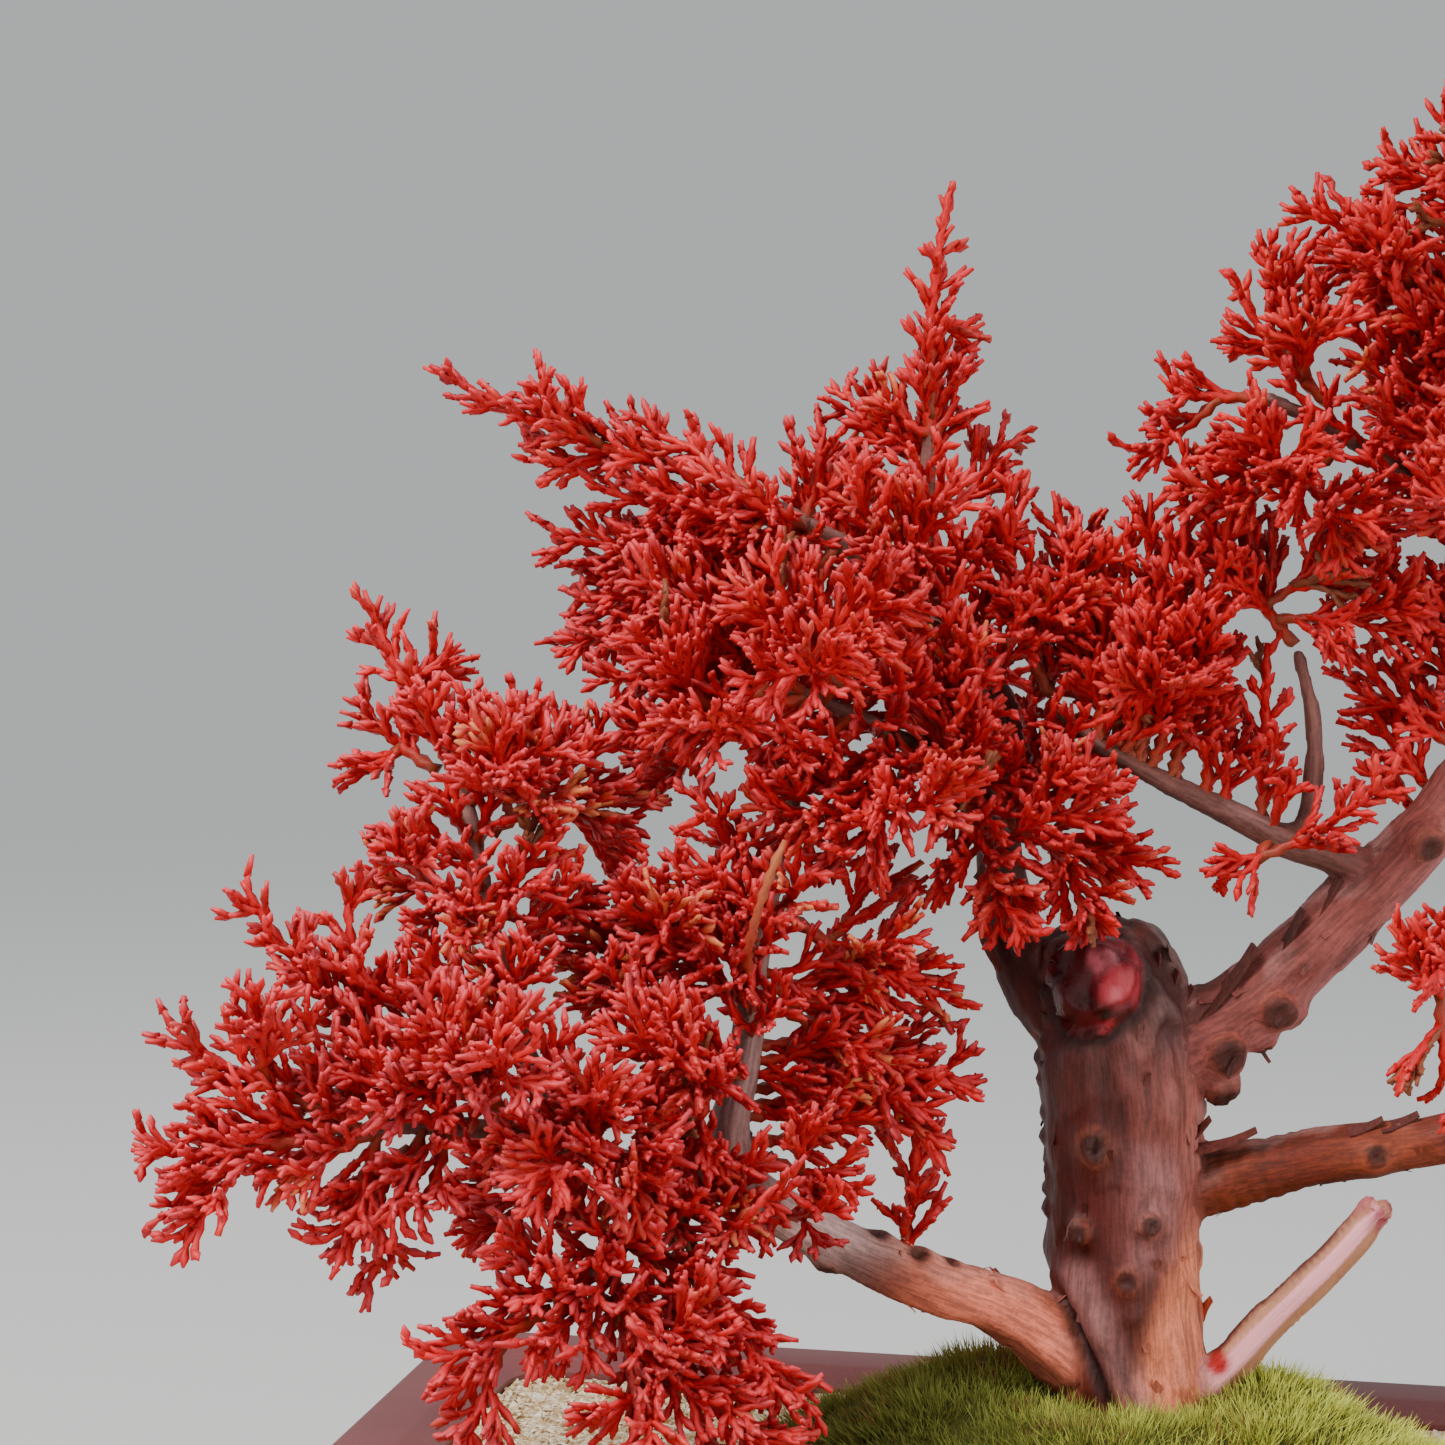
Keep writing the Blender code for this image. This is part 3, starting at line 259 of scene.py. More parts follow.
# %% Branches and knots
BRANCHES = {
    "trunk": ((0.5, 1, -17, 7.5), (0, 0, -5, 11.6), (0.4, 0, 3, 11.2), (-0.4, 0, 14, 9.9),
        (-1.2, 0, 30, 9.9), (-1.6, 0, 44, 10.5), (-2.6, 0, 55, 10), (-4.6, -1, 64, 7.9),
        (-5.4, -1.6, 68, 5.6)),
    "low_left": ((-1, 0, 8, 7.6), (-9, -2, 13.5, 5.2), (-17, -4, 19, 4.3), (-30, -8, 25, 3.8),
        (-40, -12, 30.5, 3.4), (-49, -16, 37, 3.1), (-52, -18, 45, 2.7), (-50, -17, 56, 2.3),
        (-49, -16, 67, 1.9), (-46.5, -14, 78, 1.6), (-44, -11, 88, 1.3)),
    "left_arm": ((-49, -16, 38, 2.3), (-60, -22, 40.5, 2.1), (-70, -27, 46, 1.9), (-77, -28, 57, 1.7),
        (-81, -25, 71, 1.4), (-84, -18, 84, 1.2), (-87, -12, 93, 1)),
    "left_far": ((-64, -24, 42.5, 1.8), (-76, -33, 48, 1.5), (-88, -40, 51, 1.3), (-99, -44, 51, 1)),
    "left_droop": ((-57, -20.5, 40, 1.8), (-62, -29, 38, 1.5), (-67, -37, 33.5, 1.2), (-73, -42, 29.5, 1)),
    "upper_left": ((-4, 0, 52, 6.4), (-12, 2, 60, 4.6), (-16, 4, 69, 3.6), (-17, 6, 79, 3),
        (-15, 8, 88, 2.6), (-18, 8, 98, 2.2), (-25, 6, 107, 1.9), (-33, 4, 114, 1.6), (-43, 3, 120, 1.3),
        (-52, 2, 125.5, 1)),
    "shoot": ((-20.5, 7.4, 101.5, 1.6), (-25.5, 4, 112, 1.4), (-27, 2, 124, 1.2), (-26.5, 2, 133, 1)),
    "centre_front": ((-17, 5, 80, 2.1), (-21, -2, 86, 1.8), (-28, -9, 92, 1.5), (-37, -13, 97, 1.2),
        (-46, -14, 101, 1)),
    "back_left": ((-16.5, 6, 80, 2), (-18, 16, 86, 1.7), (-24, 27, 92, 1.4), (-32, 36, 96, 1)),
    "leader": ((1, 0, 50, 7.4), (7, 0, 54, 5.8), (14, 0, 58, 5.1), (21, 0, 64, 4.8), (27.5, 0, 70.5, 4.6),
        (34, 0, 77, 4.4), (41, 1, 85.5, 3.9), (47, 3, 96, 3.3), (50.5, 5, 109, 2.8), (50, 5, 123, 2.3),
        (47.5, 4, 137, 1.9), (48, 3, 150, 1.5), (51, 2, 163, 1)),
    "leader_side": ((31, 0, 75, 3), (24, -2, 78, 2.4), (18, -3, 80, 2.1), (10, -3, 84, 1.8),
        (1, -4, 88.5, 1.5), (-6, -4, 92.5, 1.2), (-11, -3, 97, 1)),
    "grey_twig": ((20.5, -2.4, 79, 1.7), (22, -2, 86, 1.4), (22, -2, 95, 1.2), (20, -1, 104, 1)),
    "crown_left": ((50.2, 5, 112, 2), (42, 2, 119, 1.7), (33, 0, 126, 1.4), (24, -1, 132, 1.2),
        (15, -1, 136, 1)),
    "crown_right": ((50.2, 5, 118, 2), (60, 6, 126, 1.6), (71, 4, 132, 1.3), (82, 2, 136, 1)),
    "crown_front": ((50, 4.5, 107, 2.1), (50, -6, 114, 1.7), (50, -18, 119, 1.4), (50, -29, 122, 1)),
    "crown_back": ((50.2, 5.5, 114, 2), (52, 16, 121, 1.6), (54, 27, 126, 1)),
    "mid_right": ((2, 0, 33, 6.4), (9, 0, 35, 4.8), (21, -2, 38, 3.9), (34, -4, 40.5, 3.5),
        (43, -6, 43, 3.2), (54, -8, 47, 2.8), (66, -7, 51, 2.3), (77, -5, 56, 1.7), (86, -4, 62, 1)),
    "right_front": ((41, -5.5, 43, 2.2), (41, -18, 49, 1.8), (39, -29, 56, 1.4), (35, -37, 64, 1)),
    "right_back": ((56, -7.5, 48, 2.1), (62, 6, 54, 1.7), (68, 18, 60, 1.4), (73, 28, 66, 1)),
    "dead_stub": ((5, -1, 5, 4.2), (11, -3, 10, 3), (17, -4.5, 17, 2.7), (24, -6.5, 25, 2.5),
        (31, -8, 33.5, 2.3)),
}
TRUNK_FLUTE = 0.07
TRUNK_BRANCHES = ("trunk", "low_left", "upper_left", "leader", "mid_right", "dead_stub")
# Knots and cut stubs: where they leave the wood, the way they point, and their radius and length
KNOTS = (
    ((-5.5, -7.5, 41.2), (-0.25, -1.0, 0.1), 2.0, 2.6),
    ((-1.5, -7.5, 24.0), (-0.1, -1.0, 0.1), 1.4, 3.0),
    ((1.0, -8.0, 31.0), (0.2, -1.0, 0.2), 1.5, 3.0),
    ((-7.0, -7.0, 30.0), (-0.4, -1.0, 0.1), 1.3, 2.6),
    ((11.0, -4.0, 53.0), (0.2, -1.0, -0.2), 2.4, 3.0),
    ((17.5, -3.5, 58.5), (0.1, -1.0, -0.2), 2.2, 3.0),
    ((11.0, -1.0, 48.5), (0.3, -0.6, -1.0), 1.7, 2.6),
    ((20.0, -1.0, 58.5), (0.3, -0.3, -1.0), 1.4, 2.8),
    ((16.0, -1.0, 54.5), (0.2, -0.4, -1.0), 1.2, 2.6),
    ((-9.0, 0.0, 53.5), (-1.0, -0.2, 0.2), 1.3, 2.8),
    ((-9.0, 0.0, 49.5), (-1.0, -0.1, 0.1), 1.1, 2.8),
    ((-9.0, 1.0, 39.5), (-1.0, 0.1, 0.0), 1.1, 2.6),
    ((4.0, 7.5, 26.0), (0.3, 1.0, 0.2), 2.4, 3.6),
    ((30.0, -5.0, 39.5), (0.1, -1.0, 0.2), 1.6, 3.2),
    ((-33.0, -8.5, 28.0), (-0.1, -0.5, 1.0), 1.7, 3.0),
    ((-28.0, -8.0, 25.5), (0.0, -0.8, 1.0), 1.5, 3.2),
    ((-24.0, -6.0, 24.0), (0.1, -0.6, 1.0), 1.2, 2.6),
    ((-40.0, -12.0, 28.5), (0.0, -0.8, -1.0), 1.5, 3.0),
    ((36.0, -3.0, 80.0), (0.3, -1.0, -0.4), 1.9, 3.0),
)
SCAR_CENTRE = (-5.6, -6.6, 61.5)
SCAR_HALF_SIZES = (5.4, 3.6, 6.4)


def unit(vector):
    """A vector of length one along this one."""
    return vector / np.linalg.norm(vector)


def smooth_run(rows, per_span):
    """Points and radii on a smooth curve through the given rows."""
    rows = np.array(rows, float)
    padded = np.vstack((2 * rows[0] - rows[1], rows, 2 * rows[-1] - rows[-2]))
    run = []
    for k in range(len(rows) - 1):
        p0, p1, p2, p3 = padded[k:k + 4]
        for step in range(per_span):
            t = step / per_span
            run.append(0.5 * (2 * p1 + (p2 - p0) * t + (2 * p0 - 5 * p1 + 4 * p2 - p3) * t * t
                              + (3 * p1 - p0 - 3 * p2 + p3) * t ** 3))
    run.append(rows[-1])
    return np.array(run)


print("branches:", len(BRANCHES), "knots:", len(KNOTS))

# %% [markdown]
# ## One skin over all branches
# A curve with a round bevel and its own radius at each point makes a tube, as a modeller would draw it.
# The tubes, the knots and the lump of the old pruning scar are joined, and the Remesh modifier wraps all
# of them in one even skin of small squares. The Smooth modifier then turns each sharp joint into a fillet,
# as living wood grows over a joint.

# %% Tubes, knots, scar and skin
CURVE_STEPS = 4
TUBE_ROUNDNESS = 4
VOXEL = 0.78
FILLET_STEPS = 5
SCAR_ROUGHNESS = 0.16
SCAR_SEED = 4
# Stations of a knot: how far out in mm and in lengths of the knot, and how wide in radii
KNOT_SHAPE = ((-2.0, 0.0, 1.3), (0.3, 0.0, 1.2), (0.0, 0.7, 1.0), (0.0, 1.0, 0.7))


def draw_tube(rows):
    """A round tube through rows of x, y, z and radius."""
    curve = bpy.data.curves.new("tube", "CURVE")
    curve.dimensions = "3D"
    curve.bevel_depth = MM
    curve.bevel_resolution = TUBE_ROUNDNESS
    curve.use_fill_caps = True
    spline = curve.splines.new("POLY")
    spline.points.add(len(rows) - 1)
    for point, place, row in zip(spline.points, on_tree(np.array(rows)[:, :3]), rows):
        point.co = (*place, 1.0)
        point.radius = row[3]
    item = bpy.data.objects.new("tube", curve)
    bpy.context.scene.collection.objects.link(item)
    return item


def knot_rows(start, way, radius, length):
    """A short stub that narrows towards its worn end."""
    start, way = np.array(start), unit(np.array(way))
    return [(*(start + way * (out + length * share)), radius * wide) for out, share, wide in KNOT_SHAPE]


def draw_scar():
    """The faceted lump of the old pruning scar at the trunk's top."""
    deselect()
    bpy.ops.mesh.primitive_ico_sphere_add(subdivisions=2, radius=1.0)
    lump = bpy.context.object
    edit_all()
    bpy.ops.transform.vertex_random(offset=SCAR_ROUGHNESS, seed=SCAR_SEED)
    bpy.ops.object.mode_set(mode="OBJECT")
    for vertex in lump.data.vertices:
        place = np.array(SCAR_CENTRE) + np.array(vertex.co) * SCAR_HALF_SIZES
        vertex.co = on_tree(place)
    return lump


tubes = [draw_tube(smooth_run(rows, CURVE_STEPS)) for rows in BRANCHES.values()]
tubes += [draw_tube(knot_rows(*row)) for row in KNOTS]
select_only(*tubes)
bpy.ops.object.convert(target="MESH")
parts_of_wood = list(bpy.context.selected_objects) + [draw_scar()]
select_only(*parts_of_wood)
bpy.ops.object.join()
wood_skin = bpy.context.object
apply_modifier(wood_skin, "REMESH", mode="VOXEL", voxel_size=VOXEL * MM)
apply_modifier(wood_skin, "SMOOTH", factor=0.5, iterations=FILLET_STEPS)
print("the wood's skin has", triangle_count(wood_skin), "triangles")

# %% [markdown]
# ## Bark
# Juniper bark peels in long fibres that run along each branch. To place such fibres, every point of the
# skin is given its own coordinates on the nearest branch: two across it and one along it. Noise that is
# stretched along the branch then raises ridges and sinks furrows, and it helps to set where the orange
# inner bark and the grey weathered skin show, where a sheen is painted, and where the furrows are darkened
# as painted shade.

# %% Bark coordinates
# A slanting direction along which no branch runs, from which rings are turned
SLANT = (0.31, 0.83, 0.46)
SAMPLES_PER_SPAN = 5
POINTS_AT_ONCE = 4000


def branch_samples():
    """A table of places on all branches.

    Its columns are the centre (0 to 2), the radius (3), the distance along the branch (4), the ways along
    (5 to 7), aside (8 to 10) and up from it (11 to 13), and the branch's number (14).
    """
    rows = []
    for number, points in enumerate(BRANCHES.values()):
        run = smooth_run(points, SAMPLES_PER_SPAN)
        centres = run[:, :3]
        tangents = np.gradient(centres, axis=0)
        far = np.concatenate(((0.0,), np.cumsum(np.linalg.norm(np.diff(centres, axis=0), axis=1))))
        side = np.cross(tangents[0], SLANT)
        for centre, tangent, radius, distance in zip(centres, tangents, run[:, 3], far):
            along = unit(tangent)
            side = unit(side - along * np.dot(side, along))
            rows.append((*centre, radius, distance, *along, *side, *np.cross(along, side), number))
    return np.array(rows)


def bark_coordinates(points):
    """For each point: its two offsets across the nearest branch, its place along it, and that sample."""
    table = branch_samples()
    found = np.empty(len(points), int)
    for first in range(0, len(points), POINTS_AT_ONCE):
        part = points[first:first + POINTS_AT_ONCE]
        away = np.linalg.norm(part[:, None] - table[None, :, :3], axis=2)
        found[first:first + POINTS_AT_ONCE] = np.argmin(away - table[:, 3], axis=1)
    near = table[found]
    offset = points - near[:, :3]
    across = np.einsum("ij,ij->i", offset, near[:, 8:11])
    above = np.einsum("ij,ij->i", offset, near[:, 11:14])
    along = near[:, 4] + np.einsum("ij,ij->i", offset, near[:, 5:8])
    return across, above, along, near


skin_points = from_tree([v.co for v in wood_skin.data.vertices])
skin_normals = np.array([v.normal for v in wood_skin.data.vertices]) @ TURN.T
skin_edges = np.array([e.vertices[:] for e in wood_skin.data.edges])
across, above, along, nearest_sample = bark_coordinates(skin_points)
radius_there = nearest_sample[:, 3]
branch_there = nearest_sample[:, 14].astype(int)
print("bark coordinates for", len(skin_points), "points")

# %% Shares over the skin
BRANCH_NAMES = list(BRANCHES)
# How far the noise is shifted from one branch to the next, so that no two branches look alike
BRANCH_SHIFT = 7.0
BORDER_STEPS = 4
# How much a surface has to face the front before a line drawn on it shows in full
FACING = 0.5


def stretched_noise(width, length, shift):
    """Noise on the bark coordinates, this wide across the branch and this long along it."""
    spots = zip(across / width, above / width, along / length + shift + BRANCH_SHIFT * branch_there)
    return np.array([noise.noise(spot) for spot in spots])


def fade(values, start, end):
    """0 before start, 1 past end, and a smooth slope between."""
    t = np.clip((values - start) / (end - start), 0, 1)
    return t * t * (3 - 2 * t)


def soften(values, steps):
    """Values at the skin's points, each blended with its neighbours so many times."""
    around = np.bincount(skin_edges.ravel(), minlength=len(values)) + 1.0
    for _ in range(steps):
        total = values.copy()
        np.add.at(total, skin_edges[:, 0], values[skin_edges[:, 1]])
        np.add.at(total, skin_edges[:, 1], values[skin_edges[:, 0]])
        values = (total.T / around).T
    return values


def near_branch(name):
    """1 where a point belongs to the branch, else 0, with soft borders."""
    return soften((branch_there == BRANCH_NAMES.index(name)).astype(float), BORDER_STEPS)


def near_line(start, end, reach):
    """1 on a line drawn on the front of the wood, falling smoothly to 0 at this reach from it."""
    seen = skin_points[:, (0, 2)]
    start, way = np.array(start), np.array(end) - start
    t = np.clip((seen - start) @ way / (way @ way), 0, 1)
    away = np.linalg.norm(seen - start - t[:, None] * way, axis=1)
    return (1 - fade(away, 0.0, reach)) * fade(-skin_normals[:, 1], 0.0, FACING)


on_trunk, on_leader = near_branch("trunk"), near_branch("leader")
on_low_left, on_mid_right = near_branch("low_left"), near_branch("mid_right")
on_stub = near_branch("dead_stub")
print("share of the skin on the trunk:", on_trunk.mean().round(2))

# %% Noise, folds and facets
RIDGE_WIDTH, RIDGE_LENGTH = 5.0, 26.0
FIBRE_WIDTH, FIBRE_LENGTH = 1.7, 9.0
FLAKE_WIDTH, FLAKE_LENGTH = 3.6, 6.5
PATCH_WIDTH, PATCH_LENGTH = 8.0, 14.0
LUMP_SIZE = 6.0
# A rib of live wood down the trunk's front, and the crease between it and the lowest branch
RIB, RIB_REACH = ((-7.4, 24.0), (0.4, 7.0)), 3.6
CREASE, CREASE_REACH = ((-9.2, 20.6), (-3.0, 7.0)), 1.3
FACET_SIZE = 5.0
FACET_SEED = 4
# Facets lie as far apart in the noise as this, so that each has its own tone and its own tilt
TONE_SPREAD, TILT_SPREAD = 3.7, 5.3
FACET_TILT = 3.6
FACET_GROOVE = 0.35
GROOVE_SHARPNESS = 7.0

ridges = stretched_noise(RIDGE_WIDTH, RIDGE_LENGTH, 0.0)
fibres = stretched_noise(FIBRE_WIDTH, FIBRE_LENGTH, 31.0)
flakes = stretched_noise(FLAKE_WIDTH, FLAKE_LENGTH, 63.0)
patches = stretched_noise(PATCH_WIDTH, PATCH_LENGTH, 95.0)
lumps = stretched_noise(LUMP_SIZE, LUMP_SIZE, 120.0)
rib, crease = near_line(*RIB, RIB_REACH), near_line(*CREASE, CREASE_REACH)

scar_offset = (skin_points - SCAR_CENTRE) / SCAR_HALF_SIZES
scar = 1 - fade(np.linalg.norm(scar_offset, axis=1), 1.0, 1.2)
scar *= fade(-skin_normals[:, 1] + 0.6 * skin_normals[:, 2], -0.1, 0.3)
scar_rim = (1 - fade(np.abs(np.linalg.norm(scar_offset, axis=1) - 1.15), 0.05, 0.3)) * (1 - scar)
facet_tones = np.zeros(len(skin_points))
facet_relief, facet_edges = np.zeros(len(skin_points)), np.zeros(len(skin_points))
noise.seed_set(FACET_SEED)
for index in np.nonzero(scar > 0)[0]:
    spot = Vector(skin_points[index] / FACET_SIZE)
    gaps, centres = noise.voronoi(spot)
    tilt = noise.noise_vector(centres[0] * TILT_SPREAD)
    facet_tones[index] = 0.5 + 0.9 * noise.noise(centres[0] * TONE_SPREAD)
    facet_edges[index] = max(0.0, 1.0 - GROOVE_SHARPNESS * (gaps[1] - gaps[0]))
    facet_relief[index] = FACET_TILT * tilt.dot(spot - centres[0]) - FACET_GROOVE * facet_edges[index]
print("points of the skin on the scar:", int((scar > 0).sum()))

# %% Relief of the bark
RIDGE_HEIGHT, RIDGE_FALL = 0.7, 1.3
FIBRE_HEIGHT, FLAKE_HEIGHT, LUMP_HEIGHT = 0.22, 0.34, 0.7
# Fibres rise where noise is weaker than this and sink where it is stronger, and ridges fall faster
LEVEL_NOISE = 0.3
FURROW_DEPTH = 0.4
WRINKLE_PITCH, WRINKLE_HEIGHT = 2.3, 0.13
SHOULDER_LUMPS, SHOULDER_FLAKES = 1.1, 0.7
STUB_FIBRES, STUB_DEPTH, SPLINTERS = 0.3, 0.9, 1.8
SCAR_HEIGHT, SCAR_RIM_DEPTH = 0.9, 0.5
RIB_HEIGHT, CREASE_DEPTH = 1.1, 1.3
# Wood of this radius has the full relief, and the thinnest twigs have a share of it
FULL_RADIUS, TWIG_SHARE = 7.0, 0.25

stub_face = on_stub * fade(along, 6.0, 9.0) * fade(-skin_normals[:, 1], 0.15, 0.4)
stub_end = on_stub * fade(along, 35.0, 38.5)
wrinkles = on_mid_right * fade(along, 5.0, 8.0) * (1 - fade(along, 16.0, 26.0))
wrinkle_wave = wrinkles * np.sin(2 * math.pi * along / WRINKLE_PITCH + 6.0 * lumps)
shoulder = on_trunk * fade(skin_points[:, 2], 51.0, 57.0) * fade(skin_points[:, 0], -1.0, 2.0)
slim = np.clip(radius_there / FULL_RADIUS, TWIG_SHARE, 1.0)
furrows = fade(-ridges, 0.16, 0.42)
height = slim * (1 - scar) * (1 - stub_face) * (
    RIDGE_HEIGHT * (LEVEL_NOISE - RIDGE_FALL * np.abs(ridges)) - FURROW_DEPTH * furrows
    + LUMP_HEIGHT * lumps + FIBRE_HEIGHT * (LEVEL_NOISE - np.abs(fibres))
    + FLAKE_HEIGHT * fade(flakes, 0.06, 0.12))
height += WRINKLE_HEIGHT * wrinkle_wave
height += shoulder * (1 - scar) * (
    SHOULDER_LUMPS * np.abs(lumps) + SHOULDER_FLAKES * fade(flakes, 0.0, 0.08))
height += (stub_face * (STUB_FIBRES * fibres - STUB_DEPTH) + scar * (SCAR_HEIGHT + facet_relief)
           - SCAR_RIM_DEPTH * scar_rim)
height += RIB_HEIGHT * rib * (1 - crease) - CREASE_DEPTH * crease
height += SPLINTERS * stub_end * fibres
print("share of the skin in furrows:", furrows.mean().round(2))

# %% Nubs and knots
# How high the small nubs on the trunk's left edge are, and their heights in turn
NUB_LEVELS = (60.7, 57.0, 54.5, 51.0, 48.7, 44.0, 40.6, 36.5, 33.6, 31.3)
NUB_SHARES = (1.0, 0.5, 0.7)
NUB_HEIGHT = 0.9
NUB_TOP, NUB_REACH = 0.3, 1.5
KNOT_SWELLING, KNOT_HOLE = 0.4, 1.0

nubs = np.zeros(len(skin_points))
for number, level in enumerate(NUB_LEVELS):
    band = np.nonzero((on_trunk > 0.9) & (np.abs(skin_points[:, 2] - level) < 0.6))[0]
    edge = skin_points[band[np.argmin(skin_points[band, 0])]]
    size = NUB_SHARES[number % len(NUB_SHARES)]
    from_edge = np.linalg.norm(skin_points - edge, axis=1)
    nubs = np.maximum(nubs, size * (1 - fade(from_edge, NUB_TOP, NUB_REACH)))
height += NUB_HEIGHT * nubs
knot_hollow_shade, knot_ring = np.zeros(len(skin_points)), np.zeros(len(skin_points))
for start, way, radius, length in KNOTS:
    end = np.array(start) + unit(np.array(way)) * length
    from_end = np.linalg.norm(skin_points - end, axis=1)
    from_start = np.linalg.norm(skin_points - start, axis=1)
    height += KNOT_SWELLING * (1 - fade(from_start, radius, 2.4 * radius))
    height -= KNOT_HOLE * (1 - fade(from_end, 0.2 * radius, 0.8 * radius))
    knot_hollow_shade = np.maximum(knot_hollow_shade, 1 - fade(from_end, 0.6 * radius, 1.3 * radius))
    knot_ring = np.maximum(knot_ring, 1 - fade(from_end, 1.0 * radius, 1.7 * radius))
skin_points += skin_normals * height[:, None]
print("bark relief in mm: from", height.min().round(2), "to", height.max().round(2))

# %% [markdown]
# ## Painting the wood
# Bark doesn't have one colour. Old bark is dark red-brown, young bark orange-brown, and where bark has
# rubbed thin it turns pinkish grey. The stub has split, so its inner face is pale and its edges are dark.
# Light and shade are painted in too. The trunk is lighter on its right, lit side and stays dark on its left
# as painted shade under the foliage. Tops and the scar get painted highlights. Furrows, wrinkles, the
# crease, knot hollows and the scar's rim, hole and grooves get painted shade. Each of those colours is laid
# over the last by a share, as with a brush, and stored at the points of the skin. The shader later adds the
# fine fibres to this paint.

# %% Ways of painting
def near_spot(right_at, up_at, reach):
    """1 round a spot on the front, given by its place to the right and up, and 0 from this reach on."""
    return 1 - fade(np.hypot(right - right_at, up - up_at), 0.4 * reach, reach)


def painted(paint, layers):
    """The paint with layers of colour laid over it, each as much as its share at each point."""
    for hex_colour, share in layers:
        share = np.clip(share, 0, 1)[:, None]
        paint = paint * (1 - share) + np.array(linear(hex_colour)[:3]) * share
    return paint


right, up = skin_points[:, 0], skin_points[:, 2]
print("points to paint:", len(right))

# %% Broad colours of the bark
FIRST_PAINT = "#4C130D"
BLEND_STEPS = 6
# How much further right the orange patch at the trunk's foot, orange bark painted brighter as the lit side,
# begins for each mm up from its lower end
ORANGE_SLANT, ORANGE_FOOT = 0.38, 10.0

twigs = 1 - fade(radius_there, 2.0, 3.4)
orange_and_lit_foot = fade(right - ORANGE_SLANT * (up - ORANGE_FOOT), -3.0, 0.5)
paint = np.tile(linear(FIRST_PAINT)[:3], (len(skin_points), 1))
paint = painted(paint, (
    # The next two layers are painted light: the trunk is lighter towards its right, lit side, and the dark
    # first paint left on its left side is painted shade under the foliage
    ("#7E423C", on_trunk * fade(right, -6.0, 1.0) * fade(up, 16.0, 30.0) * 0.8),
    ("#B4665A", on_trunk * fade(right, 2.0, 8.0) * 0.7),
    # Mauve-grey patches on the trunk's right: partly weathered bark and partly a painted sheen on the lit
    # side
    ("#A06C6C", on_trunk * fade(patches, 0.0, 0.35) * fade(right, -4.0, 2.0) * 0.5),
    # Orange inner bark at the trunk's right foot, painted brighter there as the lit side
    ("#E07F5E", on_trunk * orange_and_lit_foot * (1 - fade(up, 24.0, 36.0))),
    ("#8A4640", on_leader * 0.85),
    ("#B8706E", on_leader * fade(-skin_normals[:, 2], 0.1, 0.8) * 0.7),
    ("#4A1E18", on_leader * fade(skin_normals[:, 2], 0.5, 0.9) * 0.7),
    ("#EA8066", on_low_left * (1 - fade(along, 26.0, 44.0))),
    # Painted highlight on the upward faces of the lowest branch
    ("#F4B4A4", on_low_left * fade(skin_normals[:, 2], 0.4, 0.9) * fade(patches, -0.2, 0.3) * 0.6),
    ("#CCA8A4", on_low_left * fade(along, 34.0, 52.0) * (0.55 + fade(patches, -0.1, 0.3))),
    ("#6E2815", on_mid_right * (1 - fade(along, 44.0, 64.0))),
    ("#98482E", on_mid_right * fade(patches, 0.0, 0.3) * (1 - fade(along, 30.0, 44.0)) * 0.6),
    ("#7A5048", twigs * 0.7),
    ("#2E100C", shoulder * 0.85)))
paint = soften(paint, BLEND_STEPS)
print("broad colours, mean:", paint.mean(axis=0).round(3))

# %% Details, stub and scar
RED_SPOT = (10.9, -4.0, 11.9)
# The way that the edge of the split stub faces
STUB_EDGE = unit(np.array((-0.7, 0.45, 0.6)))

stub_up = skin_normals @ STUB_EDGE
from_red = np.linalg.norm(skin_points - RED_SPOT, axis=1)
pale_face = stub_face * (1 - fade(stub_up, 0.4, 0.55)) * (1 - fade(-stub_up, 0.75, 0.9))
paint = painted(paint, (
    # Painted shade in the troughs of the wrinkles
    ("#54200F", 0.45 * fade(-wrinkle_wave, 0.1, 0.8)),
    ("#9C6A68", rib * 0.75),
    # Pale flakes, painted lighter on their upward faces as a painted highlight
    ("#B58A84", fade(flakes, 0.08, 0.3) * fade(skin_normals[:, 2], -0.2, 0.6) * 0.3),
    # Painted shade in the furrows, and dark fibres at random
    ("#2E100C", furrows * 0.45 + 0.3 * fade(-fibres, 0.2, 0.5) * (1 - on_low_left)),
    ("#A8543C", knot_ring * 0.35),
    # Painted shade in the hollow end of each knot
    ("#2A0D0A", knot_hollow_shade * 0.85),
    # Painted shade in the crease and in the sunk ring round the scar
    ("#1C0806", crease + scar_rim * 0.8),
    ("#2E1410", nubs * 0.8),
    ("#C98D70", on_stub),
    ("#5E2C24", on_stub * fade(stub_up, 0.72, 0.86)),
    ("#FFAEB9", pale_face),
    ("#A8505A", stub_end * (0.25 + fade(np.abs(fibres), 0.1, 0.4))),
    ("#B01212", 1 - fade(from_red, 1.0, 2.2)),
    ("#4A0C10", scar),
    ("#8E2630", scar * fade(facet_tones + 0.05 * (right + 6.0), 0.3, 0.7)),
    ("#B8303C", scar * near_spot(-3.4, 62.4, 3.6) + scar * near_spot(-4.6, 56.9, 1.7)),
    # Painted highlights on the scar's top and middle
    ("#D0606C", scar * near_spot(-5.2, 65.8, 2.4) * 0.7 + scar * near_spot(-3.6, 61.4, 1.4) * 0.8),
    # Painted shade in the scar's hollow and in the grooves between its facets
    ("#1C0606", scar * near_spot(-4.9, 59.0, 1.3) + scar * facet_edges * 0.5)))
gloss_share = np.clip(scar + 0.25 * on_trunk, 0, 1)
wood_paint = np.column_stack((paint, gloss_share))
fibre_share = 1 - np.maximum(scar, stub_face)
wood_grain = np.stack((across, above, along + BRANCH_SHIFT * branch_there, fibre_share), axis=1)
print("mean paint of the wood, linear:", paint.mean(axis=0).round(3))

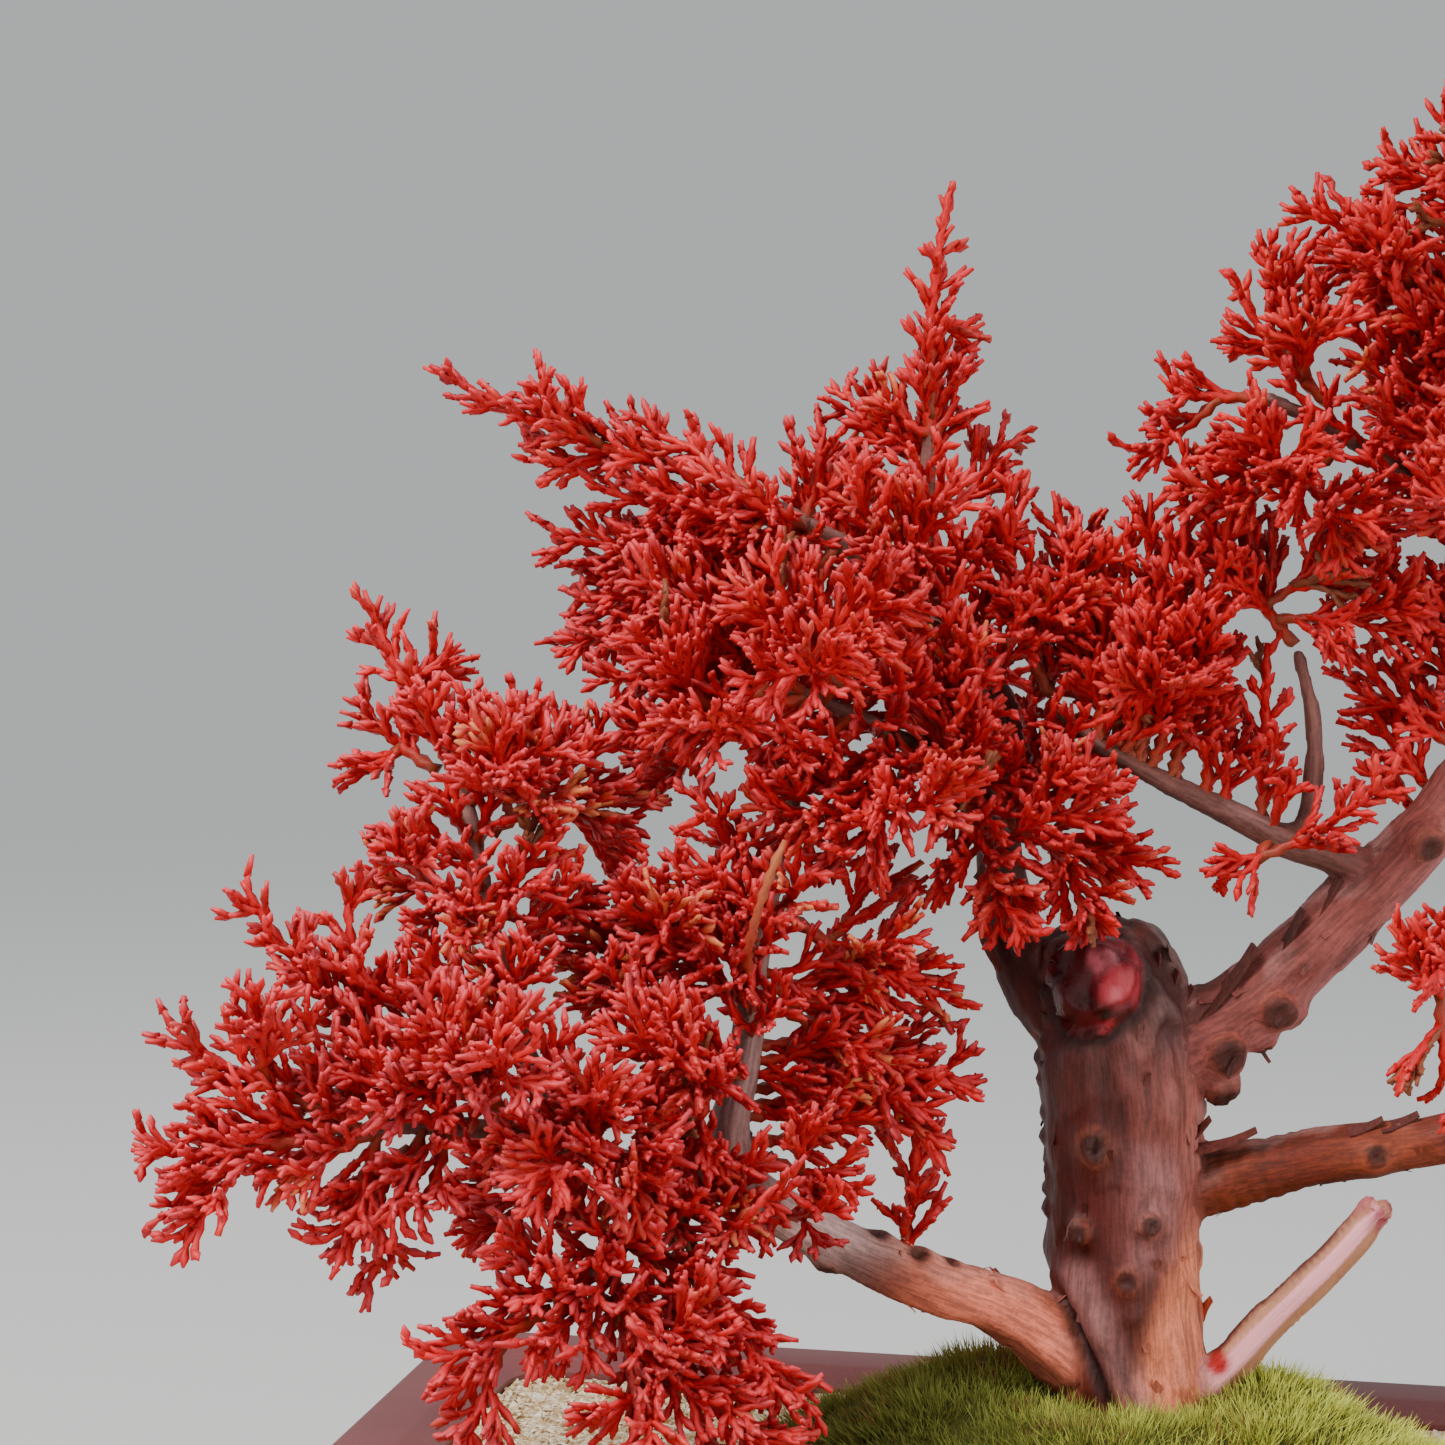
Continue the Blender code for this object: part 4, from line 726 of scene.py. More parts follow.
# %% [markdown]
# ### Bark as a material
# Juniper bark is fibrous, so fine noise that is stretched along each branch darkens and lightens the paint
# in fibres half a millimetre wide, and the same noise feeds the bump. The trunk's thin bark has a soft
# sheen, and where the trunk was cut back, the scar is glossy and wine red, without fibres.

# %% Bark material
bark, bark_shader = new_material("fibrous_juniper_bark", Specular_IOR_Level=0.3)
paint_layer = add(bark, "Attribute", {"attribute_name": "paint"})
grain_layer = add(bark, "Attribute", {"attribute_name": "grain"})
fibre_map = add(bark, "Mapping", None,
                {"Vector": grain_layer.outputs["Vector"], "Scale": (2.0, 2.0, 0.22)})
fibre = add(bark, "TexNoise", None,
            {"Vector": fibre_map.outputs["Vector"], "Scale": 1.0, "Detail": 5.0, "Roughness": 0.62})
pore = add(bark, "TexNoise", None,
           {"Vector": grain_layer.outputs["Vector"], "Scale": 1.4, "Detail": 6.0, "Roughness": 0.7})
fibre_depth = add(bark, "Math", {"operation": "MULTIPLY_ADD"},
                  {0: pore.outputs["Fac"], 1: 0.5, 2: fibre.outputs["Fac"]})
fibre_light = add(bark, "MapRange", {"interpolation_type": "SMOOTHSTEP"},
                  {"Value": fibre_depth.outputs[0], "From Min": 0.55, "From Max": 0.95, "To Min": 0.66,
                   "To Max": 1.3})
fibred = add(bark, "VectorMath", {"operation": "SCALE"},
             {0: paint_layer.outputs["Color"], "Scale": fibre_light.outputs[0]})
bark_colour = add(bark, "Mix", COLOURS,
                  {0: grain_layer.outputs["Alpha"], 6: paint_layer.outputs["Color"],
                   7: fibred.outputs["Vector"]})
gloss = add(bark, "MapRange", None,
            {"Value": paint_layer.outputs["Alpha"], "To Min": 0.62, "To Max": 0.12})
bark_bump = add(bark, "Bump", None,
                {"Height": fibre_depth.outputs[0], "Strength": 0.55, "Distance": 0.3 * MM})
feed(bark, bark_shader, Base_Color=bark_colour.outputs[2], Roughness=gloss.outputs[0],
     Normal=bark_bump.outputs[0])

wood_faces = [p.vertices[:] for p in wood_skin.data.polygons]
bpy.data.objects.remove(wood_skin)
wood = piece_of("wood_with_bark", on_tree(skin_points), wood_faces, bark,
                {"paint": wood_paint, "grain": wood_grain})
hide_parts("wood")
print("wood:", triangle_count(wood), "triangles")

# %% [markdown]
# ## Peeling bark
# Old bark lifts off in thin strips that curl as they dry. One strip is modelled: an edge of a plane is
# extruded step by step, and each step is turned a little more, so the strip curls up. Solidify gives it
# its thickness. Copies of many sizes stand on the thick wood, along the grain, and a few long ones are
# placed where the photograph shows them.

# %% Strips of bark
STRIP_STEPS = 5
STRIP_TURN = math.radians(-11)
STRIP_THICKNESS = 0.04
# Each step of a strip is narrowed to this share of the one before, to one side and the other in turn
STRIP_TAPER = 0.86
STRIP_SHIFT = 0.1

deselect()
bpy.ops.mesh.primitive_plane_add(size=1.0, location=(0.0, 0.5 / STRIP_STEPS, 0.0))
bpy.ops.object.transform_apply(location=True)
strip = bpy.context.object
edit_all()
bpy.ops.transform.resize(value=(1.0, 1.0 / STRIP_STEPS, 1.0), center_override=(0.0, 0.5 / STRIP_STEPS, 0.0))
bpy.ops.mesh.select_all(action="DESELECT")
bpy.ops.object.mode_set(mode="OBJECT")
for vertex in strip.data.vertices:
    vertex.select = vertex.co.y > 0.5 / STRIP_STEPS
bpy.ops.object.mode_set(mode="EDIT")
bpy.ops.mesh.select_mode(type="VERT")
for step in range(1, STRIP_STEPS):
    lift = math.tan(-STRIP_TURN * step * 0.5) / STRIP_STEPS
    bpy.ops.mesh.extrude_region_move(TRANSFORM_OT_translate={"value": (0.0, 1.0 / STRIP_STEPS, lift)})
    aside = STRIP_SHIFT * (-1) ** step
    bpy.ops.transform.resize(value=(STRIP_TAPER, 1.0, 1.0), center_override=(aside, 0.0, 0.0))
bpy.ops.object.mode_set(mode="OBJECT")
apply_modifier(strip, "SOLIDIFY", thickness=STRIP_THICKNESS, offset=0.0)
STRIP_MODEL = read_model(strip)
print("one strip has", len(STRIP_MODEL[1]), "triangles")

# %% Strips on the wood
STRIPS = 120
STRIP_SEED = 23
STRIP_LENGTHS = (1.4, 3.6)
STRIP_WIDTHS = (0.8, 1.9)
# Strips grow on wood of at least this radius, and from this height on, clear of the moss
BEARING_RADIUS, BEARING_HEIGHT = 2.4, 8.0
STRIP_WANDER = 0.35
STRIP_LIFT = 0.12
STRIP_SUNK, STRIP_BACK = 0.2, 0.3
STRIP_TONES, LONG_TONES = (0.55, 1.2), (0.4, 1.0)
LONG_COLOUR = "#70342C"
# A long strip stands with its width across this direction, tilted by a share towards the front
LONG_FACING = (0.0, -0.5, 1.0)
LONG_TILT = 0.6 * np.array((0.0, -1.0, 0.0))
# Where a long strip is fixed, where its free end is, and how wide it is
LONG_STRIPS = (
    ((7.6, -3.2, 57.2), (16.2, -3.4, 64.9), 3.2), ((14.0, -3.0, 60.6), (22.5, -3.0, 69.6), 2.2),
    ((19.0, -2.6, 65.4), (27.0, -2.4, 73.6), 2.0), ((7.6, -4.5, 40.2), (15.4, -5.0, 41.4), 2.4),
    ((6.2, -4.0, 41.2), (9.8, -4.5, 43.6), 2.6), ((-19.6, 0.0, 67.6), (-18.2, 0.0, 62.4), 2.4),
    ((3.0, -3.5, 59.5), (5.6, -3.5, 62.8), 2.6), ((4.6, -3.0, 57.4), (7.6, -3.0, 60.6), 2.4),
    ((1.6, -4.0, 62.0), (3.0, -4.0, 65.4), 2.2), ((15.6, -2.0, 54.0), (16.6, -2.2, 50.8), 1.2),
    ((27.0, -4.5, 42.4), (31.5, -4.8, 43.4), 2.4), ((31.0, -5.0, 43.0), (36.0, -5.0, 44.0), 2.6),
)

strip_draw = np.random.default_rng(STRIP_SEED)
thick = radius_there > BEARING_RADIUS
bearing = np.nonzero(thick & (scar < 0.1) & (on_stub < 0.3) & (up > BEARING_HEIGHT))[0]
feet, frames, strip_paints = [], [], []
for index in strip_draw.choice(bearing, STRIPS, replace=False):
    grain_way = nearest_sample[index, 5:8] * strip_draw.choice((-1.0, 1.0))
    lifted = skin_normals[index]
    level = unit(grain_way + STRIP_WANDER * strip_draw.normal(size=3))
    level = unit(level - lifted * (level @ lifted) + lifted * strip_draw.uniform(0.0, STRIP_LIFT))
    wide = unit(np.cross(level, lifted))
    length, width = strip_draw.uniform(*STRIP_LENGTHS), strip_draw.uniform(*STRIP_WIDTHS)
    feet.append(skin_points[index] - lifted * STRIP_SUNK - level * STRIP_BACK)
    strip_paints.append(paint[index] * strip_draw.uniform(*STRIP_TONES))
    frames.append((wide * width, level * length, np.cross(wide, level) * length))
for foot, end, width in LONG_STRIPS:
    level = np.array(end) - foot
    wide = unit(np.cross(level, LONG_FACING) + LONG_TILT * np.linalg.norm(level))
    feet.append(np.array(foot))
    strip_paints.append(np.array(linear(LONG_COLOUR)[:3]) * strip_draw.uniform(*LONG_TONES))
    frames.append((wide * width, level, np.cross(wide, level)))
strip_points, strip_faces = placed_copies(STRIP_MODEL, np.array(feet), np.array(frames))
strip_paint = np.repeat(strip_paints, len(STRIP_MODEL[0]), axis=0)
strip_paint = np.column_stack((strip_paint, np.zeros(len(strip_points))))
strip_grain = np.column_stack((strip_points * (1.0, 1.0, 0.4), np.ones(len(strip_points))))
strips = piece_of("peeling_bark", on_tree(strip_points), strip_faces, bark,
                  {"paint": strip_paint, "grain": strip_grain}, False)
print("strips of bark:", len(feet), "with", triangle_count(strips), "triangles")

# %% [markdown]
# ## Scale leaves
# A shimpaku's leaves are tiny scales pressed flat in pairs, each pair turned a quarter from the last. The
# result looks like a braided cord a millimetre thick with a blunt tip. One such cord is modelled: a
# four-sided circle is extruded ring by ring, and each ring is widened in turn one way and then the other,
# so that its corners bulge like the scales. Every cord on the tree is a copy of it, bent on its own line.

# %% One braided cord
CORD_RADIUS = 0.47
SCALE_PITCH = 1.2
SCALE_BULGE = 1.34
CORD_RINGS = 70
TIP_SHAPE = (1.0, 1.0, 0.5)
CORNERS = 4
LEAST_RINGS = 3


def ring_size(number):
    """How wide ring number is each way: plain scales first, and a blunt tip at the end."""
    from_end = number - (CORD_RINGS - len(TIP_SHAPE))
    size = TIP_SHAPE[from_end] if from_end >= 0 else 1.0
    wide = SCALE_BULGE if number % 2 else 1 / SCALE_BULGE
    return size * wide, size / wide


deselect()
bpy.ops.mesh.primitive_circle_add(vertices=CORNERS, radius=CORD_RADIUS, fill_type="NGON")
edit_all()
before = ring_size(0)
bpy.ops.transform.resize(value=(*before, 1.0), center_override=(0, 0, 0))
for number in range(1, CORD_RINGS):
    bpy.ops.mesh.extrude_region_move(TRANSFORM_OT_translate={"value": (0, 0, SCALE_PITCH)})
    after = ring_size(number)
    grow = (after[0] / before[0], after[1] / before[1], 1.0)
    bpy.ops.transform.resize(value=grow, center_override=(0, 0, number * SCALE_PITCH))
    before = after
bpy.ops.object.mode_set(mode="OBJECT")
cord_points, _ = read_model(bpy.context.object)
CORD_MODEL = cord_points[np.argsort(cord_points[:, 2], kind="stable")].reshape(-1, CORNERS, 3)
turns = np.arctan2(CORD_MODEL[..., 1], CORD_MODEL[..., 0]).round(3)
CORD_MODEL = np.take_along_axis(CORD_MODEL, np.argsort(turns, axis=1)[:, :, None], axis=1)[..., :2]
print("the cord model has", len(CORD_MODEL), "rings of", CORNERS, "corners")

# %% Copies bent on their own lines
def bent_copies(starts, ways, bends, sides, widths, rings):
    """Points of copies of the cord, each on a parabola and cut to so many rings from its tip."""
    t = np.linspace(0.0, 1.0, rings)[None, :, None]
    centres = starts[:, None] + ways[:, None] * t + bends[:, None] * t * t
    tangents = ways[:, None] + 2 * bends[:, None] * t
    tangents /= np.linalg.norm(tangents, axis=2, keepdims=True)
    across = sides[:, None] - tangents * np.sum(sides[:, None] * tangents, axis=2, keepdims=True)
    across /= np.linalg.norm(across, axis=2, keepdims=True)
    above = np.cross(tangents, across)
    wide = widths[:, :1] + (widths[:, 1:] - widths[:, :1]) * t[:, :, 0]
    reach = CORD_MODEL[None, -rings:] * wide[:, :, None, None]
    return centres[:, :, None] + across[:, :, None] * reach[..., :1] + above[:, :, None] * reach[..., 1:]


def cord_faces(count, rings, first):
    """Faces of so many copied cords in a row: four walls between rings and a face on both ends."""
    corner = np.arange(CORNERS)
    after = (corner + 1) % CORNERS
    low = (np.arange(rings - 1) * CORNERS)[:, None]
    walls = np.stack((low + corner, low + after, low + CORNERS + after, low + CORNERS + corner), axis=2)
    ends = np.array((corner[::-1], (rings - 1) * CORNERS + corner))
    one = np.concatenate((walls.reshape(-1, CORNERS), ends))
    return (one[None] + first + (np.arange(count) * rings * CORNERS)[:, None, None]).reshape(-1, CORNERS)


print("the cord copier is ready")

# %% [markdown]
# ## Where the leafy stems grow
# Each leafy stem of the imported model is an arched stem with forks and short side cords, all kept clear of
# each other. The same rule is followed here, with the same seeds, so that the fine foliage grows on the
# same skeleton. A stem is listed by its name, the branch that it grows on, how far along that branch, how
# far its side cords reach, and the tips of its forks.

# %% Leafy stems
LEAFY_STEMS = (
    ("plume_peak", "upper_left", 1.0, 8, ((-90, 0, 140), (-77, -2, 138), (-78, 5, 129))),
    ("plume_crest", "upper_left", 0.8, 9, ((-57, -5, 128), (-67, 4, 132))),
    ("plume_under", "upper_left", 0.84, 11, ((-75, 7, 118), (-73, 11, 103), (-62, 12, 112))),
    ("plume_front", "upper_left", 0.74, 13, ((-67, -10, 101), (-62, -9, 113), (-53, -13, 104))),
    ("crest_left", "upper_left", 0.64, 10, ((-44, 10, 123), (-38, 16, 128), (-48, 16, 114))),
    ("tall_shoot", "shoot", 1.0, 4.5, ((-24, 2, 163), (-20, 3, 144))),
    ("crest_right", "shoot", 0.5, 9, ((-17, 6, 131), (-35, 5, 138))),
    ("crest_front", "upper_left", 0.6, 11, ((-37, -12, 126), (-26, -12, 124))),
    ("centre_right", "upper_left", 0.45, 11, ((-8, 5, 117), (-12, -6, 109), (-2, 9, 105))),
    ("centre_left", "centre_front", 1.0, 12, ((-64, -16, 95), (-61, -18, 107), (-54, -26, 96))),
    ("centre_up", "centre_front", 0.72, 13, ((-47, -18, 116), (-33, -22, 113), (-42, -27, 104))),
    ("centre_low", "centre_front", 0.5, 12, ((-38, -24, 81), (-27, -26, 88), (-47, -23, 86))),
    ("skirt_right", "centre_front", 0.1, 10, ((0, -10, 78), (-7, -17, 72), (-4, -5, 88))),
    ("skirt_mid", "centre_front", 0.24, 12, ((-18, -20, 74), (-8, -16, 90), (-26, -17, 98))),
    ("fan_high", "low_left", 0.86, 10, ((-24, -11, 61), (-31, -20, 70), (-34, -6, 76))),
    ("fan_low", "low_left", 0.76, 10, ((-21, -11, 49), (-26, -14, 43), (-35, -20, 56))),
    ("elbow_right", "low_left", 0.58, 8, ((-37, -24, 40), (-43, -27, 48))),
    ("elbow_front", "low_left", 0.67, 12, ((-55, -37, 55), (-58, -36, 44), (-64, -40, 62))),
    ("stem_left", "low_left", 0.83, 12, ((-70, -21, 71), (-68, -26, 62), (-61, -30, 74))),
    ("stem_high", "low_left", 1.0, 12, ((-52, -8, 107), (-60, -7, 90), (-38, -4, 104))),
    ("left_peak", "left_arm", 1.0, 8, ((-98, -6, 112), (-87, -8, 105))),
    ("left_mid", "left_arm", 0.9, 9, ((-99, -10, 99), (-96, -16, 90))),
    ("left_low", "left_arm", 0.72, 10, ((-96, -18, 79), (-91, -30, 84), (-83, -36, 73))),
    ("left_inner", "left_arm", 0.8, 12, ((-68, -11, 95), (-66, -13, 84), (-74, -22, 93), (-80, -30, 96))),
    ("far_high", "left_far", 0.55, 9, ((-110, -38, 80), (-104, -42, 73), (-98, -33, 80))),
    ("far_mid", "left_far", 0.86, 10, ((-118, -46, 64), (-107, -50, 68))),
    ("far_tip", "left_far", 1.0, 10, ((-122, -49, 50), (-114, -53, 43))),
    ("far_low", "left_far", 0.66, 10, ((-100, -45, 38), (-94, -40, 33))),
    ("near_high", "left_far", 0.36, 13, ((-87, -51, 67), (-77, -55, 62), (-94, -48, 58))),
    ("near_low", "left_far", 0.12, 12, ((-68, -48, 57), (-74, -52, 48), (-62, -46, 46))),
    ("droop_left", "left_droop", 1.0, 9, ((-87, -50, 25), (-84, -52, 14))),
    ("droop_right", "left_droop", 0.8, 11, ((-45, -50, 13), (-65, -54, 14), (-56, -50, 30))),
    ("droop_back", "left_arm", 0.3, 12, ((-84, -22, 36), (-78, -12, 44))),
    ("crown_tip", "leader", 1.0, 11, ((55, 2, 191), (48, 0, 185), (62, 4, 182))),
    ("crown_high", "leader", 0.93, 9, ((37, -1, 172), (31, 3, 165), (41, -11, 166))),
    ("crown_shoulder", "leader", 0.86, 9, ((21, 0, 161), (28, -10, 157), (26, 11, 154))),
    ("crown_step", "crown_left", 0.6, 9, ((12, 0, 149), (19, 5, 154), (21, -6, 145))),
    ("crown_edge", "crown_left", 1.0, 9, ((3, -1, 137), (-2, -3, 128))),
    ("crown_layer", "crown_left", 0.66, 13, ((6, -11, 124), (15, -15, 130), (23, -16, 122))),
    ("side_tip", "leader_side", 1.0, 9, ((-16, 0, 125), (-4, -2, 117))),
    ("side_mid", "leader_side", 0.72, 12, ((5, -5, 110), (0, -12, 100))),
    ("grey_top", "grey_twig", 1.0, 12, ((11, -3, 118), (27, -5, 121), (33, -8, 111))),
    ("grey_low", "grey_twig", 0.3, 7, ((12, -9, 76), (31, -9, 89))),
    ("crown_fore", "crown_front", 1.0, 14, ((49, -50, 136), (60, -46, 124), (38, -42, 120))),
    ("crown_face", "crown_front", 0.55, 13.0,
     ((37, -26, 138), (62, -26, 142), (50, -22, 150), (35, -14, 124))),
    ("crown_right_tip", "crown_right", 1.0, 14, ((104, 3, 144), (99, -6, 130), (94, 10, 136))),
    ("crown_right_mid", "crown_right", 0.6, 14, ((82, -15, 150), (84, 15, 146), (76, -2, 154))),
    ("crown_right_high", "leader", 0.8, 14, ((72, 0, 167), (66, 13, 172), (60, -9, 166))),
    ("crown_rear", "crown_back", 1.0, 14, ((58, 48, 140), (72, 38, 128), (40, 42, 134))),
    ("right_tip", "mid_right", 1.0, 13, ((112, -4, 78), (108, -14, 66), (104, 10, 72))),
    ("right_fore", "right_front", 1.0, 11, ((26, -47, 75), (34, -52, 80), (34, -43, 53))),
    ("right_rear", "right_back", 1.0, 13, ((74, 46, 78), (90, 36, 75), (64, 40, 86))),
    ("rear_left", "back_left", 1.0, 14, ((-48, 46, 100), (-30, 50, 106), (-16, 44, 98))),
)
print("leafy stems:", len(LEAFY_STEMS))

# %% Sizes of stems and cords
SEAT_GAP = 0.3
TINY = 1e-9
STEM_BASE_RADIUS = 1.2
STEM_TIP_RADIUS = 0.75
FORK_RADIUS = 1.0
CORD_BASE_RADIUS = 0.62
CORD_TIP_RADIUS = 0.72
STEM_SPANS = 3
FORK_SPANS = 2
# Forks leave the stem at these shares of its length
FORKS_AT = (0.4, 0.28, 0.16)
CORD_PITCH = 6.8
CORD_ANGLE = math.radians(42)
FEWEST_CORDS = 3
# Where the first side cord stands on a stem and on a fork, and the last one on both
CORDS_FROM = (0.2, 0.12)
CORDS_TO = 0.97
# A side cord's length in spreads at the foot of its stem, and how much of it is lost at the tip
CORD_REACH = 1.15
CORD_FALL = 0.75
CORD_LUCK = (0.85, 1.15)
CORD_SWAY = 0.75
CORD_TURN = 2.4
CORD_SUNK = 0.8
STEM_LEVEL = (0.2, 0.1, 1.0)
CORD_LEVEL = (0.1, -0.7, 0.7)
STEM_SAG = 0.1
ROOT_LENGTH = 2.2
ROOT_SEARCH = 9.0
ROOT_STEP = 0.1
HEEL_POINTS = 8
HEEL_EASE = 0.15
CLEARANCE = 0.35
LOWEST_LEAF = 5.0
BEND_STEPS = (0.0, 0.1, 0.2, 0.32, 0.45)
BEND_WAYS = 10
# What a side cord tries until it is clear: a share of its length, and a turn about its stem
CORD_TRIES = ((1.0, 0.0), (0.85, 0.6), (0.85, -0.6), (0.65, 1.2), (0.65, -1.2), (0.5, 0.0))
print("a stem's foot is", 2 * STEM_BASE_RADIUS, "mm thick")

# %% Room between rods
# The centre line and radii of each branch, as rows of x, y, z and radius
BRANCH_RUNS = {name: np.array(points, float) for name, points in BRANCHES.items()}


def rods(path, radii):
    """Rows of start, end and the two radii for each length of a path."""
    return [(*a, *b, ra, rb) for a, b, ra, rb in zip(path[:-1], path[1:], radii[:-1], radii[1:])]


def wood_segments():
    """Rows of start, end and the two radii for each short length of the wood."""
    rows = []
    for name, run in BRANCH_RUNS.items():
        widen = 1 + TRUNK_FLUTE if name in TRUNK_BRANCHES else 1.0
        rows += rods(run[:, :3], run[:, 3] * widen)
    return rows


def clearance(start, end, radius, others):
    """The smallest gap between a round rod and the other rods."""
    p, q = others[:, :3], others[:, 3:6]
    d1, d2, r = end - start, q - p, start - p
    a, e = float(np.dot(d1, d1)) + TINY, np.einsum("ij,ij->i", d2, d2) + TINY
    b, c, f = d2 @ d1, r @ d1, np.einsum("ij,ij->i", d2, r)
    below = np.maximum(a * e - b * b, TINY)
    s = np.clip((b * f - c * e) / below, 0, 1)
    t = np.clip((b * s + f) / e, 0, 1)
    s = np.clip((b * t - c) / a, 0, 1)
    apart = np.linalg.norm(start + s[:, None] * d1 - p - t[:, None] * d2, axis=1)
    wide = others[:, 6] * (1 - t) + others[:, 7] * t
    return float(np.min(apart - wide)) - radius


def run_clearance(path, radius, others):
    """The smallest gap between a bent rod and the other rods."""
    return min(clearance(a, b, radius, others) for a, b in zip(path[:-1], path[1:]))


def bent_path(start, end, spans, bend):
    """Points along an arch from start to end, pushed aside by the bend at its middle."""
    steps = np.linspace(0, 1, spans + 1)
    return np.array([start + (end - start) * t + bend * 4 * t * (1 - t) for t in steps])


def clear_path(start, end, spans, radius, others, heel_on=None):
    """An arch between two points, clear of the other rods past its root, bent as little as it can be.

    Where it starts on bark, its heel keeps off that wood too.
    """
    along = unit(end - start)
    side = unit(np.cross(along, STEM_LEVEL))
    up = np.cross(side, along)
    length = np.linalg.norm(end - start)
    best, best_gap = None, -math.inf
    for size in BEND_STEPS:
        for way in range(BEND_WAYS if size else 1):
            angle = 2 * math.pi * way / BEND_WAYS
            bend = (side * math.sin(angle) - up * math.cos(angle)) * length * (size + STEM_SAG) * 0.5
            path = bent_path(start, end, spans, bend)
            free = path.copy()
            free[0] += unit(path[1] - path[0]) * ROOT_LENGTH
            gap = run_clearance(free, radius, others)
            if heel_on is not None:
                gap = min(gap, heel_gap(path[0], unit(path[1] - path[0]), heel_on) + HEEL_EASE)
            if gap > CLEARANCE:
                return path
            if gap > best_gap:
                best, best_gap = path, gap
    return best


def heel_gap(heel, way, wood):
    """The smallest gap between the wood and the round heel of a stem that points this way."""
    side = unit(np.cross(way, SLANT))
    up = np.cross(way, side)
    turns = [2 * math.pi * k / HEEL_POINTS for k in range(HEEL_POINTS)]
    rim = [heel + (side * math.cos(a) + up * math.sin(a)) * STEM_BASE_RADIUS for a in turns]
    return min(clearance(spot, spot + way, 0.0, wood) for spot in rim + [heel])


def stem_root(branch, along, aim, wood):
    """Where a leafy stem starts: a seat's gap off the branch's end, or off its bark."""
    centre, run_way = spot_on(BRANCH_RUNS[branch][:, :3], along)
    way = unit(aim - centre)
    if along >= 1.0:
        lean = math.acos(min(float(np.dot(run_way, way)), 1.0))
        return centre + way * (SEAT_GAP + STEM_BASE_RADIUS * math.sin(lean)) / math.cos(lean)
    reach = 0.0
    while reach < ROOT_SEARCH and heel_gap(centre + way * reach, way, wood) < SEAT_GAP:
        reach += ROOT_STEP
    return centre + way * reach


def spot_on(path, share):
    """The point at a share of a path's spans, and the way the path runs there."""
    spot = share * (len(path) - 1)
    k = min(int(spot), len(path) - 2)
    return path[k] + (path[k + 1] - path[k]) * (spot - k), unit(path[k + 1] - path[k])


print("lengths of wood:", len(wood_segments()))

# %% Arched stems and side cords
def plan_stems():
    """The bent axes of every leafy stem, each clear of all others, and all rods with their owners."""
    wood = np.array(wood_segments())
    rows, owners = wood_segments(), [None] * len(wood)
    plans = []
    for name, branch, along, spread, tips in LEAFY_STEMS:
        tips = np.array(tips, float)
        root = stem_root(branch, along, tips[0], wood)
        others = np.array(rows)
        heel_on = wood if along < 1.0 else None
        axis = clear_path(root, tips[0], STEM_SPANS, STEM_BASE_RADIUS, others, heel_on)
        axes = [(axis, np.linspace(STEM_BASE_RADIUS, STEM_TIP_RADIUS, len(axis)))]
        for share, tip in zip(FORKS_AT, tips[1:]):
            start, _ = spot_on(axis, share)
            fork = clear_path(start, tip, FORK_SPANS, FORK_RADIUS, others)
            axes.append((fork, np.linspace(FORK_RADIUS, STEM_TIP_RADIUS, len(fork))))
        for path, radii in axes:
            rows += rods(path, radii)
            owners += [name] * (len(path) - 1)
        plans.append((name, spread, axes))
    return plans, rows, owners


def plan_cords(name, spread, axes, others):
    """The side cords of one leafy stem: short rods on alternate sides of its axes."""
    rng = random.Random(name)
    cords = []
    for index, (path, radii) in enumerate(axes):
        whole = np.linalg.norm(np.diff(path, axis=0), axis=1).sum()
        first = CORDS_FROM[min(index, 1)]
        count = max(FEWEST_CORDS, round(whole * (1 - first) / CORD_PITCH))
        roll = rng.uniform(0, math.pi)
        for number in range(count):
            share = first + (CORDS_TO - first) * (number + 0.5) / count
            start, along = spot_on(path, share)
            side = unit(np.cross(along, CORD_LEVEL))
            up = np.cross(side, along)
            swing = math.pi * number + CORD_SWAY * math.sin(roll + CORD_TURN * number)
            length = spread * (CORD_REACH - CORD_FALL * share) * rng.uniform(*CORD_LUCK)
            for scale, turn in CORD_TRIES:
                out = side * math.cos(swing + turn) + up * math.sin(swing + turn)
                way = along * math.cos(CORD_ANGLE) + out * math.sin(CORD_ANGLE)
                end = start + way * length * scale
                gap = clearance(start + way * CORD_SUNK, end, CORD_BASE_RADIUS, others)
                if end[2] > LOWEST_LEAF and gap > CLEARANCE:
                    cords.append((start, end))
                    break
    return cords


plans, rows, owners = plan_stems()
stem_axes = {name: axes for name, spread, axes in plans}
stem_cords = {}
for name, spread, axes in plans:
    others = np.array([row for row, owner in zip(rows, owners) if owner != name])
    stem_cords[name] = plan_cords(name, spread, axes, others)
    rows += [(*start, *end, CORD_BASE_RADIUS, CORD_TIP_RADIUS) for start, end in stem_cords[name]]
    owners += [name] * len(stem_cords[name])
print("side cords planned:", sum(len(cords) for cords in stem_cords.values()))

# %% [markdown]
# ## Growing the sprays
# Every side cord of the plan becomes a small frond, and more fronds grow between them. A frond bears
# cordlets left and right at a sharp angle, long ones near its foot and short ones near its tip, and the
# longer cordlets bear nubs of their own. Each new cord may be nudged out of the flat, so a spray is full
# from all sides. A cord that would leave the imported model's box, run into the wood or touch the ground is
# shortened or left out.

# %% Growth rules
FROND_PITCH = 2.45
# What grows on a frond and on its cordlets: the pitch, and the length as a share of what bears it and a
# least length
CORDLETS = (1.5, 0.68, 2.4)
NUBS = (2.2, 0.4, 1.3)
